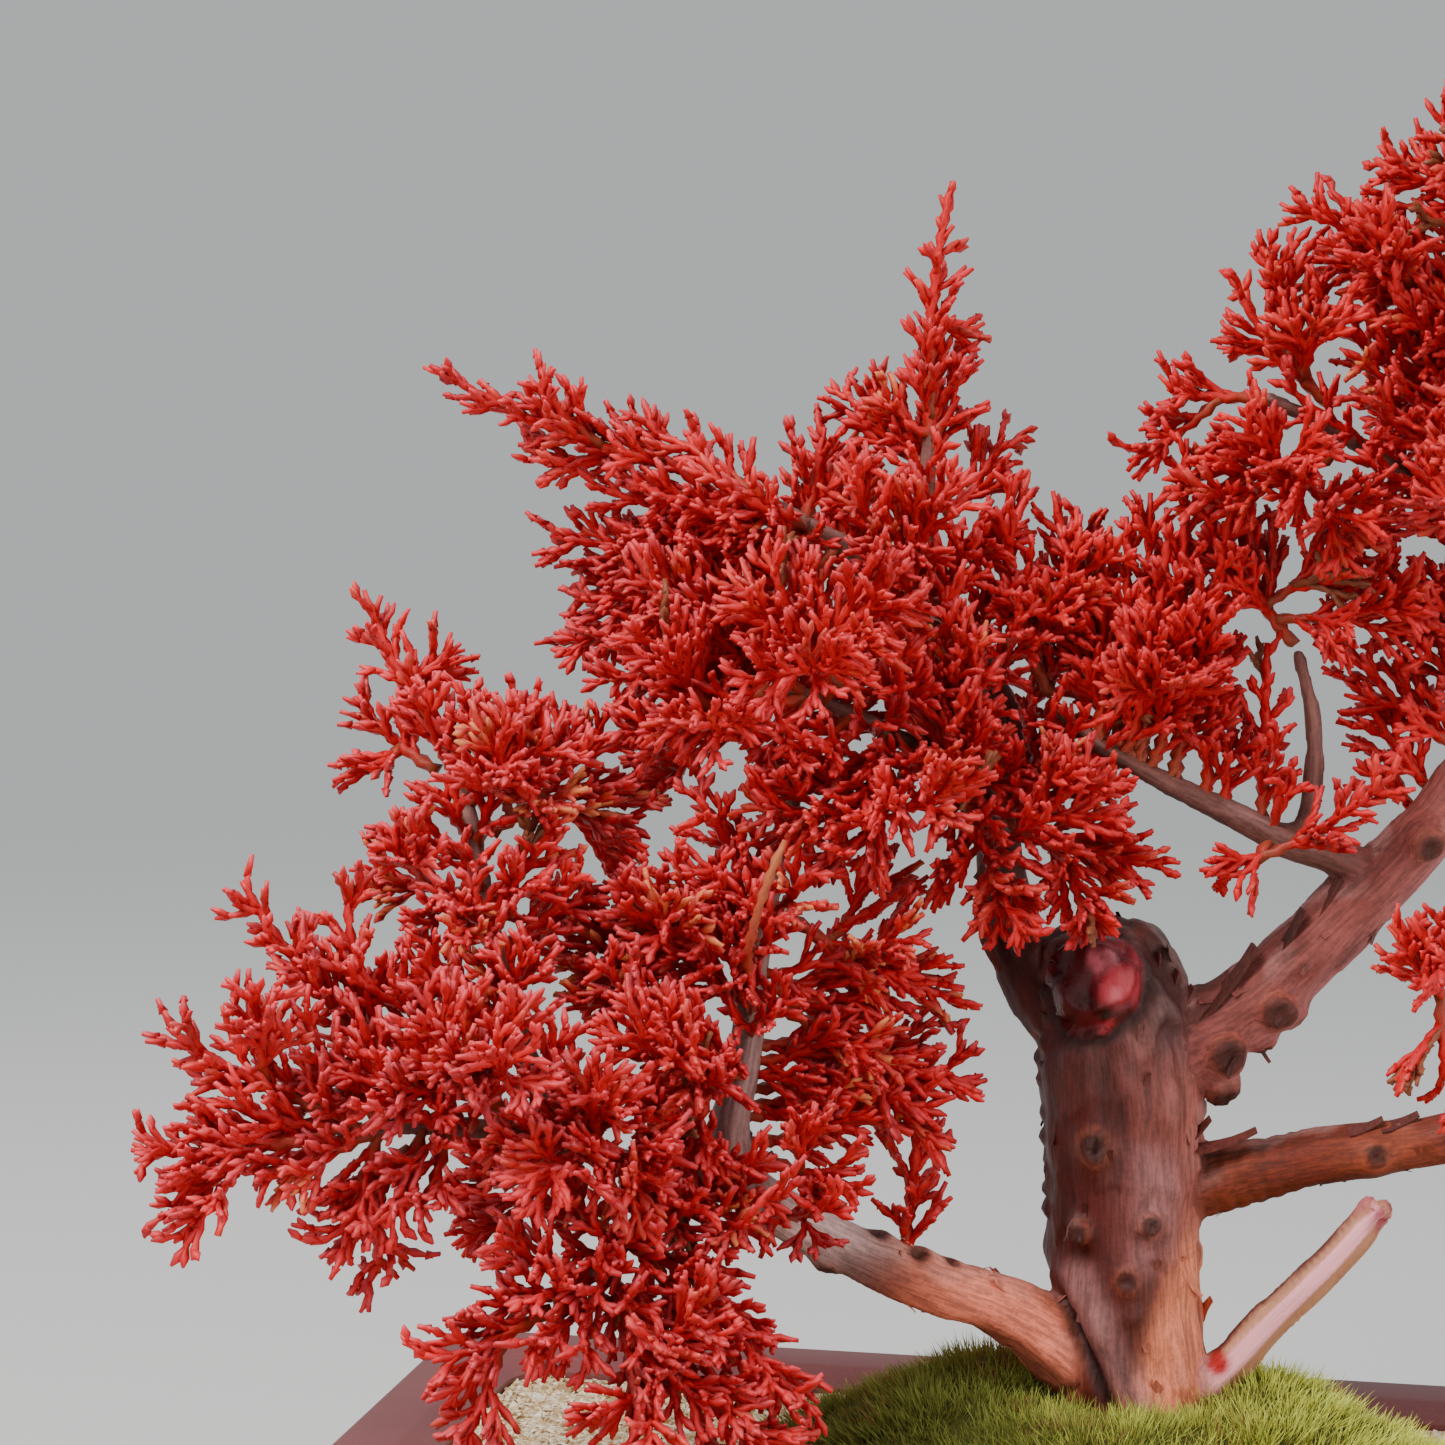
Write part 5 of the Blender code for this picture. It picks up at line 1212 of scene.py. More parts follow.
# Where cordlets begin on a cord and over what share of it they stand, and the same for fronds on a stem
CORDLETS_FROM, CORDLETS_OVER, CORDLET_ROOM = 0.16, 0.76, 0.8
FRONDS_FROM, FRONDS_OVER = 0.12, 0.86
JITTER = (0.2, 0.8)
LAST_ORDER = 3
# A cord in the way is cut to this share until it is too short, and a short cord bears nothing
SHORTENED, SHORTEST, SHORTEST_BEARER = 0.7, 1.4, 2.8
CORD_WIDTHS = (1.05, 1.0)
SIDE_BENDS, UP_BENDS = (-0.06, 0.06), (-0.01, 0.08)
CORDLET_TWIST = 0.3
CORDLET_LEANS, CORDLET_LUCK = (0.85, 1.2), (0.8, 1.2)
FROND_LEANS, FROND_LUCK, FROND_SWAY = (0.8, 1.2), (0.75, 1.2), 0.4
# A frond's length in spreads at the foot of its stem, and how much of it is lost at the tip
FROND_REACH, FROND_FALL = 1.2, 0.85
FROND_TILT = 0.3
STEM_TONES, TONE_SWAY, ORANGE_CHOICE = (0.2, 0.6), 0.15, (0.2, 1.0)
ORANGE_FRONDS, DEAD_FRONDS = 0.3, 0.01
FREE_FROM = 0.3
SIDE_ANGLE = math.radians(32)
FAN_ANGLE = math.radians(18)
FANS = ("fan_high", "fan_low", "skirt_right", "elbow_right")
GROUND_ROOM = 3.0
BOX_MARGIN = 0.8
BOX_LOW = np.array(CAD_LOW) / MM + BOX_MARGIN
BOX_HIGH = np.array(CAD_HIGH) / MM - BOX_MARGIN
WOOD_RODS = np.array(wood_segments())
UPWARD = np.array((0.0, 0.0, 1.0))


def fits(start, end):
    """True if a cord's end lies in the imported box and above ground, and the cord misses the wood."""
    place = on_tree(end) / MM
    inside = bool(np.all(place > BOX_LOW) and np.all(place < BOX_HIGH))
    if not inside or end[2] < GROUND_ROOM:
        return False
    return clearance(start + (end - start) * FREE_FROM, end, CORD_RADIUS, WOOD_RODS) > 0.0


def grow_cord(cords, rng, start, way, length, side, order, angle, look):
    """Add one cord and what grows on it. Look is its tone, its orange share and its dead share."""
    while not fits(start, start + way * length):
        length *= SHORTENED
        if length < SHORTEST:
            return
    bend = (side * rng.uniform(*SIDE_BENDS) + UPWARD * rng.uniform(*UP_BENDS)) * length
    cords.append((start, way * length, bend, side, CORD_WIDTHS, look, order))
    if order == LAST_ORDER or length < SHORTEST_BEARER:
        return
    pitch, size, least = CORDLETS if order == 1 else NUBS
    count = int(length * CORDLET_ROOM / pitch)
    flip = rng.choice((-1, 1))
    flat = np.cross(way, side)
    for number in range(count):
        share = CORDLETS_FROM + CORDLETS_OVER * (number + rng.uniform(*JITTER)) / count
        spot = start + way * length * share + bend * share * share
        flip = -flip
        twist = rng.gauss(0.0, CORDLET_TWIST)
        out = (flat * math.cos(twist) + side * math.sin(twist)) * flip
        lean = angle * rng.uniform(*CORDLET_LEANS)
        turned = unit(way * math.cos(lean) + out * math.sin(lean))
        normal = unit(side * math.cos(twist) - flat * math.sin(twist) * flip + way * 0.001)
        tone = min(max(look[0] + rng.uniform(-TONE_SWAY, TONE_SWAY), 0), 1)
        look_here = (tone, look[1] * rng.choice(ORANGE_CHOICE), look[2])
        grown = (size * length * (1 - share) + least) * rng.uniform(*CORDLET_LUCK)
        grow_cord(cords, rng, spot, turned, grown, normal, order + 1, angle, look_here)


def grow_axis(cords, rng, path, widths, spread, angle, orange):
    """Add a stem that arches along the path, with fronds all round it, shorter towards its tip."""
    start, end = path[0], path[-1]
    t = 1.0 / (len(path) - 1)
    bulge = (path[1] - start - (end - start) * t) / (4 * t * (1 - t))
    way, bend = end - start + 4 * bulge, -4 * bulge
    side = unit(np.cross(way, CORD_LEVEL))
    cords.append((start, way, bend, side, widths, (rng.uniform(*STEM_TONES), 0.0, 0.0), 0))
    count = int(np.linalg.norm(end - start) / FROND_PITCH)
    for number in range(count):
        share = FRONDS_FROM + FRONDS_OVER * (number + rng.uniform(*JITTER)) / count
        spot = start + way * share + bend * share * share
        along = unit(way + 2 * bend * share)
        swing = CORD_TURN * number + rng.uniform(-FROND_SWAY, FROND_SWAY)
        out = side * math.cos(swing) + np.cross(side, along) * math.sin(swing)
        lean = angle * rng.uniform(*FROND_LEANS)
        turned = unit(along * math.cos(lean) + out * math.sin(lean))
        look = (rng.random(), orange * (rng.random() < ORANGE_FRONDS), float(rng.random() < DEAD_FRONDS))
        normal = unit(np.cross(turned, np.cross(out, along) + FROND_TILT * out))
        length = spread * (FROND_REACH - FROND_FALL * share) * rng.uniform(*FROND_LUCK)
        grow_cord(cords, rng, spot, turned, length, normal, 1, angle, look)


print("growth rules are ready")

# %% Cords of a spray, and its mesh
ORANGE_TIPS = {"fan_high": 0.8, "fan_low": 0.9, "stem_left": 0.7, "left_inner": 0.8, "left_low": 0.6}
COMMON_ORANGE = 0.12
# Sprays on the outline of the tree are kept closer to their stems than the others
REACH = {"plume_crest": 0.7, "plume_peak": 0.85, "left_peak": 0.75, "left_mid": 0.7, "left_low": 0.8,
         "far_high": 0.8, "far_mid": 0.85, "far_low": 0.75, "fan_low": 0.7, "crown_edge": 0.7,
         "crest_right": 0.8, "centre_left": 0.85, "right_fore": 0.75, "droop_left": 0.85}
LIT_REACH = 90.0
STEM_WIDTHS = (2.0, 1.1)
FORK_WIDTHS = (1.6, 1.0)
ORANGE_CORDS, DEAD_CORDS = 0.4, 0.015
# The bloom at a tip, for stems and more for each order of cord, and its share on the shaded right and on the
# lit left, where the extra pink is a painted highlight
BLOOM, BLOOM_PER_ORDER = 0.35, 0.25
SHADED_BLOOM, LIT_BLOOM = 0.4, 0.6


def spray_cords(name, spread):
    """All cords of one leafy stem, whose fronds are about as long as its spread."""
    rng = random.Random("spray " + name)
    reach = REACH.get(name, 1.0)
    angle = FAN_ANGLE if name in FANS else SIDE_ANGLE
    orange = ORANGE_TIPS.get(name, COMMON_ORANGE)
    cords = []
    for index, (path, radii) in enumerate(stem_axes[name]):
        widths = STEM_WIDTHS if index == 0 else FORK_WIDTHS
        grow_axis(cords, rng, path, widths, reach * spread, angle, orange)
    for start, end in stem_cords[name]:
        length = float(np.linalg.norm(end - start))
        way = (end - start) / length
        normal = unit(np.cross(way, (rng.uniform(-0.5, 0.5), -0.7, rng.uniform(0.2, 0.9))))
        look = (rng.random(), orange * (rng.random() < ORANGE_CORDS), float(rng.random() < DEAD_CORDS))
        grow_cord(cords, rng, start, way, reach * length, normal, 1, angle, look)
    return cords


def spray_mesh(cords):
    """Points, faces and leaf colours of a spray's cords."""
    lengths = np.array([np.linalg.norm(cord[1] + cord[2]) for cord in cords])
    counts = np.clip(np.round(lengths / SCALE_PITCH).astype(int) + 1, LEAST_RINGS, CORD_RINGS)
    all_points, all_faces, all_looks, first = [], [], [], 0
    for rings in sorted(set(counts)):
        chosen = [cord for cord, count in zip(cords, counts) if count == rings]
        starts, ways, bends, sides, widths, looks, orders = (np.array(column) for column in zip(*chosen))
        points = bent_copies(starts, ways, bends, sides, widths, rings)
        far = np.linspace(0, 1, rings)[None, :, None]
        order = orders[:, None, None]
        look = np.empty((len(chosen), rings, CORNERS, 4))
        # Sprays to the left get more pink at their tips, as a painted highlight
        lit_from_left = np.clip(-starts[:, 0, None, None] / LIT_REACH, 0.0, 1.0)
        bloom_and_highlight = np.clip(far * (BLOOM + BLOOM_PER_ORDER * order), 0, 1)
        look[..., 0] = bloom_and_highlight * (SHADED_BLOOM + LIT_BLOOM * lit_from_left)
        look[..., 1] = looks[:, 0, None, None]
        look[..., 2] = looks[:, 1, None, None] * np.clip(far * 2.2 - 1.0, 0, 1)
        look[..., 3] = np.where(order == 0, np.clip(0.9 - far * 2.0, 0, 1), looks[:, 2, None, None])
        all_points.append(points.reshape(-1, 3))
        all_looks.append(look.reshape(-1, 4))
        all_faces += cord_faces(len(chosen), rings, first).tolist()
        first += len(all_points[-1])
    return np.concatenate(all_points), all_faces, np.concatenate(all_looks)


print("spray builder is ready")

# %% [markdown]
# ### Scale leaves as a material
# Juniper scales have a waxy bloom, which scatters light: deep red in the folds, clear red on the scales,
# and pinkish where the bloom is thick at the young tips. That pink is laid on more thickly on faces that
# look up and on the sprays to the left, as a painted highlight. Some tips are orange, and a few lengths
# have died and turned tan, as has the woody foot of each stem. The scales are coarser than any bump that
# would show, so the bump only roughens them.

# %% Foliage material
leaf, leaf_shader = new_material("waxy_scale_leaves", Roughness=0.5, Specular_IOR_Level=0.3,
                                 Sheen_Weight=0.08, Sheen_Roughness=0.4, Sheen_Tint=linear("#FFBCBC"))
leaf_look = add(leaf, "Attribute", {"attribute_name": "look"})
leaf_parts = add(leaf, "SeparateColor", None, {0: leaf_look.outputs["Color"]})
leaf_place = add(leaf, "TexCoord")
scale_noise = add(leaf, "TexNoise", None,
                  {"Vector": leaf_place.outputs["Object"], "Scale": 1.0 / (0.9 * MM), "Detail": 3.0})
cloud_noise = add(leaf, "TexNoise", None,
                  {"Vector": leaf_place.outputs["Object"], "Scale": 1.0 / (14.0 * MM), "Detail": 2.0})
cloud = add(leaf, "MapRange", {"interpolation_type": "SMOOTHSTEP"},
            {"Value": cloud_noise.outputs["Fac"], "From Min": 0.38, "From Max": 0.66})
speck = add(leaf, "MapRange", None,
            {"Value": scale_noise.outputs["Fac"], "From Min": 0.3, "From Max": 0.7, "To Max": 0.5})
skyward = add(leaf, "NewGeometry")
skyward_parts = add(leaf, "SeparateXYZ", None, {0: skyward.outputs["Normal"]})
# Faces that look up get more pink, as a painted highlight
top_highlight_share = add(leaf, "MapRange", {"interpolation_type": "SMOOTHSTEP"},
                    {"Value": skyward_parts.outputs["Z"], "From Min": -0.2, "From Max": 1.0, "To Min": 0.06,
                     "To Max": 0.6})
bloom_and_highlight = add(leaf, "Math", {"operation": "MULTIPLY"},
            {0: leaf_parts.outputs[0], 1: top_highlight_share.outputs[0]})
toned = add(leaf, "Mix", COLOURS, {0: leaf_parts.outputs[1], 6: linear("#860306"), 7: linear("#D20A10")})
clouded = add(leaf, "Mix", COLOURS, {0: cloud.outputs[0], 6: toned.outputs[2], 7: linear("#B40509")})
specked = add(leaf, "Mix", COLOURS, {0: speck.outputs[0], 6: clouded.outputs[2], 7: linear("#E61218")})
bloomed_and_lit = add(leaf, "Mix", COLOURS, {0: bloom_and_highlight.outputs[0], 6: specked.outputs[2], 7: linear("#F8707E")})
with_orange = add(leaf, "Mix", COLOURS,
                  {0: leaf_parts.outputs[2], 6: bloomed_and_lit.outputs[2], 7: linear("#E08A52")})
with_tan = add(leaf, "Mix", COLOURS,
               {0: leaf_look.outputs["Alpha"], 6: with_orange.outputs[2], 7: linear("#84452C")})
leaf_bump = add(leaf, "Bump", None,
                {"Height": scale_noise.outputs["Fac"], "Strength": 0.5, "Distance": 0.2 * MM})
feed(leaf, leaf_shader, Base_Color=with_tan.outputs[2], Normal=leaf_bump.outputs[0])
print("foliage material:", leaf.name)

# %% Sprays
spray_triangles = 0
for name, branch, along, spread, tips in LEAFY_STEMS:
    points, faces, looks = spray_mesh(spray_cords(name, spread))
    spray = piece_of("spray_" + name, on_tree(points), faces, leaf, {"look": looks})
    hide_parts("leaves_" + name)
    spray_triangles += triangle_count(spray)
print("sprays:", len(LEAFY_STEMS), "with", spray_triangles, "triangles")

# %% [markdown]
# ## Shoots between the sprays
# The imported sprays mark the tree's form, and a real juniper is fuller: short shoots also fill the room
# between them. They are listed by the branch that bears them, with the place of each tip. A shoot leaves
# its branch a little below the nearest point, as shoots grow outwards, and then arches to its tip.

# %% Inner shoots
INNER_SHOOTS = {
    "left_arm": ((-84, -20, 101), (-80, -25, 93), (-73, -28, 86), (-86, -30, 76), (-75, -34, 71),
        (-82, -36, 65), (-71, -20, 75), (-77, -30, 81), (-92, -24, 85), (-92, -36, 72), (-79, -36, 69),
        (-88, -38, 68), (-84, -28, 83), (-83, -32, 77), (-87, -24, 88), (-70, -26, 79), (-99, -42, 71),
        (-90, -20, 100), (-78, -22, 100)),
    "low_left": ((-56, -22, 88), (-46, -20, 82), (-51, -24, 75), (-56, -26, 68), (-41, -18, 67),
        (-36, -14, 60), (-45, -18, 54), (-56, -30, 59), (-37, -14, 52), (-60, -34, 64), (-28, -10, 49),
        (-26, -8, 58), (-65, -32, 69), (-33, -10, 67), (-40, -30, 40), (-43, -26, 79), (-47, -28, 74),
        (-59, -24, 81), (-54, -26, 80), (-52, -27, 69), (-48, -26, 63), (-21, -12, 55), (-38, -18, 58),
        (-31, -14, 55), (-27, -12, 66), (-65, -28, 79), (-56, -26, 75), (-50, -25, 78), (-68, -30, 69),
        (-63, -38, 55)),
    "centre_front": ((-41, -14, 96), (-31, -12, 99), (-21, -10, 96), (-35, -18, 92), (-18, -12, 90),
        (-27, -10, 106), (-48, -22, 95), (-34, -20, 97), (-31, -22, 91), (-23, -14, 109), (-25, -12, 113),
        (-21, -14, 104), (-20, -16, 84), (-15, -12, 86), (-53, -18, 99), (-31, -20, 107), (-48, -18, 107),
        (-41, -20, 112), (-37, -24, 88), (-44, -24, 93)),
    "upper_left": ((-11, -8, 98), (-3, -6, 94), (-8, 0, 105), (-62, -3, 124), (-53, -6, 120),
        (-45, -8, 119), (-36, 0, 123), (-66, 2, 110), (-56, -10, 106), (-7, -10, 98), (-2, -6, 98),
        (-11, -12, 94), (-70, 2, 125), (-64, 2, 118), (-72, 4, 110), (-40, 4, 132), (-56, -4, 116),
        (-48, -6, 121), (-16, -10, 109), (-18, -6, 113), (-23, -6, 118), (-31, -14, 116), (-69, 2, 105)),
    "left_droop": ((-72, -44, 45), (-63, -44, 46), (-57, -42, 42), (-67, -46, 39), (-74, -48, 33),
        (-63, -48, 31), (-46, -36, 42), (-49, -36, 47), (-69, -50, 26), (-79, -46, 39), (-62, -46, 38),
        (-67, -48, 35), (-76, -50, 26), (-50, -40, 39), (-47, -48, 23), (-42, -48, 18), (-52, -50, 20),
        (-56, -44, 34), (-60, -50, 23), (-82, -46, 31)),
    "left_far": ((-102, -46, 58), (-97, -48, 50), (-108, -48, 47), (-88, -46, 54), (-91, -48, 43),
        (-82, -44, 55), (-88, -46, 43), (-87, -46, 49), (-102, -46, 65), (-112, -48, 56), (-96, -44, 66),
        (-73, -42, 64), (-69, -42, 53), (-88, -46, 60), (-79, -46, 49), (-116, -48, 52), (-97, -44, 42)),
    "leader": ((32, 0, 143), (28, 2, 148), (36, -4, 133), (37, -4, 123), (33, -2, 108), (28, 2, 100),
        (38, 2, 97), (33, 4, 89), (24, 0, 115), (35, 0, 160), (37, 0, 165), (25, -6, 142), (26, -10, 129),
        (27, -10, 136), (24, 4, 162), (30, -8, 149), (35, -6, 121), (34, -8, 133), (32, -6, 126),
        (29, -6, 116), (27, 0, 156), (21, -2, 148), (17, -4, 138), (24, 0, 108), (38, 0, 108),
        (36, -6, 148)),
    "leader_side": ((16, -2, 105), (5, -2, 115), (1, -2, 124), (11, -4, 91), (17, -6, 87), (3, -6, 120),
        (-2, -2, 121), (7, -8, 113), (-11, 2, 124), (-8, 2, 120), (9, -6, 99), (-5, -4, 111),
        (2, -8, 108), (11, -8, 126), (5, -6, 131)),
    "shoot": ((-18, 0, 120), (-30, 0, 133), (-27, 2, 139), (-37, 8, 136), (-23, 2, 136), (-25, 2, 148),
        (-27, -4, 128)),
}
SHOOT_SPREAD = 8.5
ORANGE_SHOOTS, SHOOT_ORANGE = 0.16, 0.7
# A dead tan length that rises among the lowest shoots: its foot, middle and end, widths and look
DEAD_LENGTH = ((-49.3, -18.0, 60.5), (-49.6, -30.0, 71.5), (-45.5, -32.0, 84.0))
DEAD_WIDTHS = (1.6, 1.1)
DEAD_LOOK = (0.5, 0.7, 0.6)
SHOOT_WIDTHS = (1.8, 1.1)
SHOOT_SPANS = 3
SEARCH_SHARES = np.linspace(0.02, 1.0, 60)


def shoot_path(branch, tip):
    """An arch from a little below the branch's nearest point to the tip."""
    run = BRANCH_RUNS[branch][:, :3]
    spots = np.array([spot_on(run, share)[0] for share in SEARCH_SHARES])
    apart = np.linalg.norm(spots - tip, axis=1)
    nearest = int(np.argmin(apart))
    travelled = np.cumsum(np.linalg.norm(np.diff(spots, axis=0, prepend=spots[:1]), axis=1))
    below = np.searchsorted(travelled, travelled[nearest] - 0.5 * apart[nearest])
    start = spots[min(below, nearest)]
    return bent_path(start, tip, SHOOT_SPANS, UPWARD * -STEM_SAG * apart[nearest])


shoot_triangles = 0
for branch, tips in INNER_SHOOTS.items():
    rng = random.Random("shoots on " + branch)
    cords = []
    for tip in np.array(tips, float):
        orange = SHOOT_ORANGE * (rng.random() < ORANGE_SHOOTS)
        grow_axis(cords, rng, shoot_path(branch, tip), SHOOT_WIDTHS, SHOOT_SPREAD, SIDE_ANGLE, orange)
    if branch == "low_left":
        foot, middle, end = np.array(DEAD_LENGTH)
        bend = 2 * (foot + end) - 4 * middle
        cords.append((foot, end - foot - bend, bend, UPWARD, DEAD_WIDTHS, DEAD_LOOK, 1))
    points, faces, looks = spray_mesh(cords)
    shoots = piece_of("shoots_" + branch, on_tree(points), faces, leaf, {"look": looks})
    shoot_triangles += triangle_count(shoots)
shoot_count = sum(len(tips) for tips in INNER_SHOOTS.values())
print("inner shoots:", shoot_count, "with", shoot_triangles, "triangles")

# %% [markdown]
# ## Ground cover
# The soil is covered with a mound of cushion moss round the trunk and with coarse beige sand elsewhere.
# Moss is a crowd of leafy threads that fan out in tufts, so one thread is a slim three-sided cone, copied
# many thousands of times. A grain of crushed sand is a five-sided chip, copied in many sizes and turned
# at random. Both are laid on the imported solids, whose surfaces are found by casting rays straight down.

# %% Casting rays and placing copies
def surface_of(node):
    """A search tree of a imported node's mesh, in metres."""
    mesh = bpy.data.objects[node].data
    return BVHTree.FromPolygons([v.co for v in mesh.vertices], [p.vertices[:] for p in mesh.polygons])


def drop_on(surface, x, y):
    """Where a ray straight down at x and y (mm) meets a surface, as a point in mm and a normal."""
    spot, normal = surface.ray_cast(Vector((x, y, RAY_TOP)) * MM, Vector((0.0, 0.0, -1.0)))[:2]
    if spot is None:
        return None
    return np.array(spot) / MM, np.array(normal)


def dress(node, material):
    """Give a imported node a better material."""
    bpy.data.objects[node].material_slots[0].material = material


RAY_TOP = 300.0
MOSS_SURFACE = surface_of("moss")
SAND_SURFACE = surface_of("sand")
moss_low, moss_high = (np.array(corner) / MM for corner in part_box("moss"))
sand_low, sand_high = (np.array(corner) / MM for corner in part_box("sand"))
print("moss mound from", moss_low.round(1), "to", moss_high.round(1), "mm")

# %% Moss threads
MOSS_TUFTS = 1000
THREADS_PER_TUFT = 25
TUFT_RADIUS = 2.0
THREAD_LENGTHS = (2.2, 4.6)
THREAD_RADIUS = 0.17
MOSS_SINK = 1.5
MOSS_SEED = 41
TUFT_HEIGHTS = (0.7, 1.25)
BROWN_TUFTS = 0.06
# How many mm further right a tuft stands for the yellow share, painted light to the right and painted shade
# to the left, to rise from none to full
LIT_YELLOW_WIDTH, YELLOW_SPREAD = 50, 0.25
FAN_OUT, THREAD_SWAY = 0.36, 0.16

deselect()
bpy.ops.mesh.primitive_cone_add(vertices=3, radius1=1.0, depth=1.0, location=(0.0, 0.0, 0.5))
bpy.ops.object.transform_apply(location=True)
THREAD_MODEL = read_model(bpy.context.object)

moss_draw = np.random.default_rng(MOSS_SEED)
roots, ways, looks = [], [], []
while len(roots) < MOSS_TUFTS * THREADS_PER_TUFT:
    x, y = moss_draw.uniform(moss_low[:2], moss_high[:2])
    hit = drop_on(MOSS_SURFACE, x, y)
    if hit is None:
        continue
    spot, normal = hit
    tall = moss_draw.uniform(*TUFT_HEIGHTS)
    place = from_tree(spot * MM)
    # The yellow share rises to the right as painted light and falls to the left as painted shade under the
    # foliage, with a random spread
    lit_yellow = 0.5 + place[0] / LIT_YELLOW_WIDTH + moss_draw.normal(0.0, YELLOW_SPREAD)
    lit_yellow = min(max(lit_yellow, 0.0), 1.0)
    brown = float(moss_draw.random() < BROWN_TUFTS)
    for _ in range(THREADS_PER_TUFT):
        aside = moss_draw.normal(0.0, 0.5, 2) * TUFT_RADIUS
        away = np.array((*aside, 0.0))
        roots.append(spot + away - normal * MOSS_SINK)
        lean = normal + away * FAN_OUT + moss_draw.normal(0.0, THREAD_SWAY, 3)
        ways.append(unit(lean) * moss_draw.uniform(*THREAD_LENGTHS) * tall)
        looks.append((moss_draw.random(), lit_yellow, brown))
roots, ways, looks = np.array(roots), np.array(ways), np.array(looks)
across = np.cross(ways, moss_draw.normal(size=ways.shape))
across *= THREAD_RADIUS / np.linalg.norm(across, axis=1, keepdims=True)
above = np.cross(ways / np.linalg.norm(ways, axis=1, keepdims=True), across)
moss_points, moss_faces = placed_copies(THREAD_MODEL, roots, np.stack((across, above, ways), axis=1))
thread_look = np.empty((len(roots), len(THREAD_MODEL[0]), 4))
thread_look[..., 0] = THREAD_MODEL[0][:, 2]
thread_look[..., 1:] = looks[:, None]
print("moss threads:", len(roots), "with", len(moss_faces), "triangles")

# %% [markdown]
# ### Moss as a material
# Moss leaves are one cell thick, so light passes through and lit moss glows yellow-green. The tufts are
# painted more yellow and brighter to the right, as painted light, and duller to the left, as painted shade
# under the foliage. The foot of each thread is darker, partly its own browner base and partly painted shade
# deep in the cushion. Some tufts have dried to brown. The thread's height, its tuft's yellow share and its
# brown share were stored on the mesh, and they choose the colour.

# %% Moss materials
moss, moss_shader = new_material("cushion_moss", Roughness=0.7, Specular_IOR_Level=0.25,
                                 Subsurface_Weight=0.15, Subsurface_Scale=0.4 * MM)
moss_look = add(moss, "Attribute", {"attribute_name": "look"})
moss_parts = add(moss, "SeparateColor", None, {0: moss_look.outputs["Color"]})
# Duller on the left and brighter yellow on the right, as painted shade and painted light
moss_lit_tone = add(moss, "Mix", COLOURS,
                {0: moss_parts.outputs[2], 6: linear("#8E9842"), 7: linear("#F2FA70")})
moss_height = add(moss, "MapRange", None,
                  {"Value": moss_parts.outputs[0], "From Min": 0.25, "From Max": 0.95})
# The thread's foot is darker: partly its own browner base and partly painted shade deep in the cushion
moss_foot_and_shade = add(moss, "Mix", COLOURS,
                {0: moss_height.outputs[0], 6: linear("#4E4F1C"), 7: moss_lit_tone.outputs[2]})
moss_brown = add(moss, "Mix", COLOURS,
                 {0: moss_look.outputs["Alpha"], 6: moss_foot_and_shade.outputs[2], 7: linear("#8E6A40")})
feed(moss, moss_shader, Base_Color=moss_brown.outputs[2])

# The cushion between the threads is dark: partly the moss's own darker inside and partly painted shade
# between the threads
cushion, cushion_shader = new_material("dark_shaded_moss_cushion", Roughness=0.85, Specular_IOR_Level=0.2)
cushion_place = add(cushion, "TexCoord")
cushion_noise = add(cushion, "TexNoise", None,
                    {"Vector": cushion_place.outputs["Object"], "Scale": 1.0 / (1.2 * MM), "Detail": 5.0})
cushion_tone = add(cushion, "Mix", COLOURS,
                   {0: cushion_noise.outputs["Fac"], 6: linear("#2A2C10"), 7: linear("#5E5F26")})
cushion_bump = add(cushion, "Bump", None,
                   {"Height": cushion_noise.outputs["Fac"], "Strength": 1.0, "Distance": 0.8 * MM})
feed(cushion, cushion_shader, Base_Color=cushion_tone.outputs[2], Normal=cushion_bump.outputs[0])
dress("moss", cushion)
threads = piece_of("moss_threads", moss_points * MM, moss_faces, moss,
                   {"look": thread_look}, False)
print("moss pieces:", threads.name, triangle_count(threads))

# %% Sand grains
GRAINS = 8500
GRAIN_SIZES = (0.32, 0.62)
PEBBLES = 260
PEBBLE_SIZES = (0.75, 1.2)
SAND_SEED = 17
# The least and most length, breadth and thickness of a grain in shares of its size
GRAIN_SHAPES = ((0.8, 0.7, 0.5), (1.25, 1.0, 0.8))
GRAIN_RISE = 0.4

deselect()
bpy.ops.mesh.primitive_cone_add(vertices=5, radius1=1.0, radius2=0.0, depth=1.5)
GRAIN_MODEL = read_model(bpy.context.object)

sand_draw = np.random.default_rng(SAND_SEED)
spots, frames, looks = [], [], []
while len(spots) < GRAINS + PEBBLES:
    x, y = sand_draw.uniform(sand_low[:2], sand_high[:2])
    hit = drop_on(SAND_SURFACE, x, y)
    mossy = drop_on(MOSS_SURFACE, x, y)
    if hit is None or mossy is not None:
        continue
    sizes = GRAIN_SIZES if len(spots) < GRAINS else PEBBLE_SIZES
    half = sand_draw.uniform(*sizes) * sand_draw.uniform(*GRAIN_SHAPES)
    turned = np.linalg.qr(sand_draw.normal(size=(3, 3)))[0]
    spots.append(hit[0] + (0.0, 0.0, half.min() * GRAIN_RISE))
    frames.append(turned * half[:, None])
    looks.append((*sand_draw.random(3), 1.0))
sand_points, sand_faces = placed_copies(GRAIN_MODEL, np.array(spots), np.array(frames))
grain_look = np.repeat(np.array(looks)[:, None], len(GRAIN_MODEL[0]), axis=1)
print("grains:", len(spots), "with", len(sand_faces), "triangles")

# %% [markdown]
# ### Sand as a material
# The top dressing is crushed granite, sieved to a millimetre: cream feldspar, pale quartz, tan grains
# stained by iron and a few dark flakes. Each grain has a random number, which picks its mineral. The sand
# below the loose grains has the same colours in a fine cell pattern.

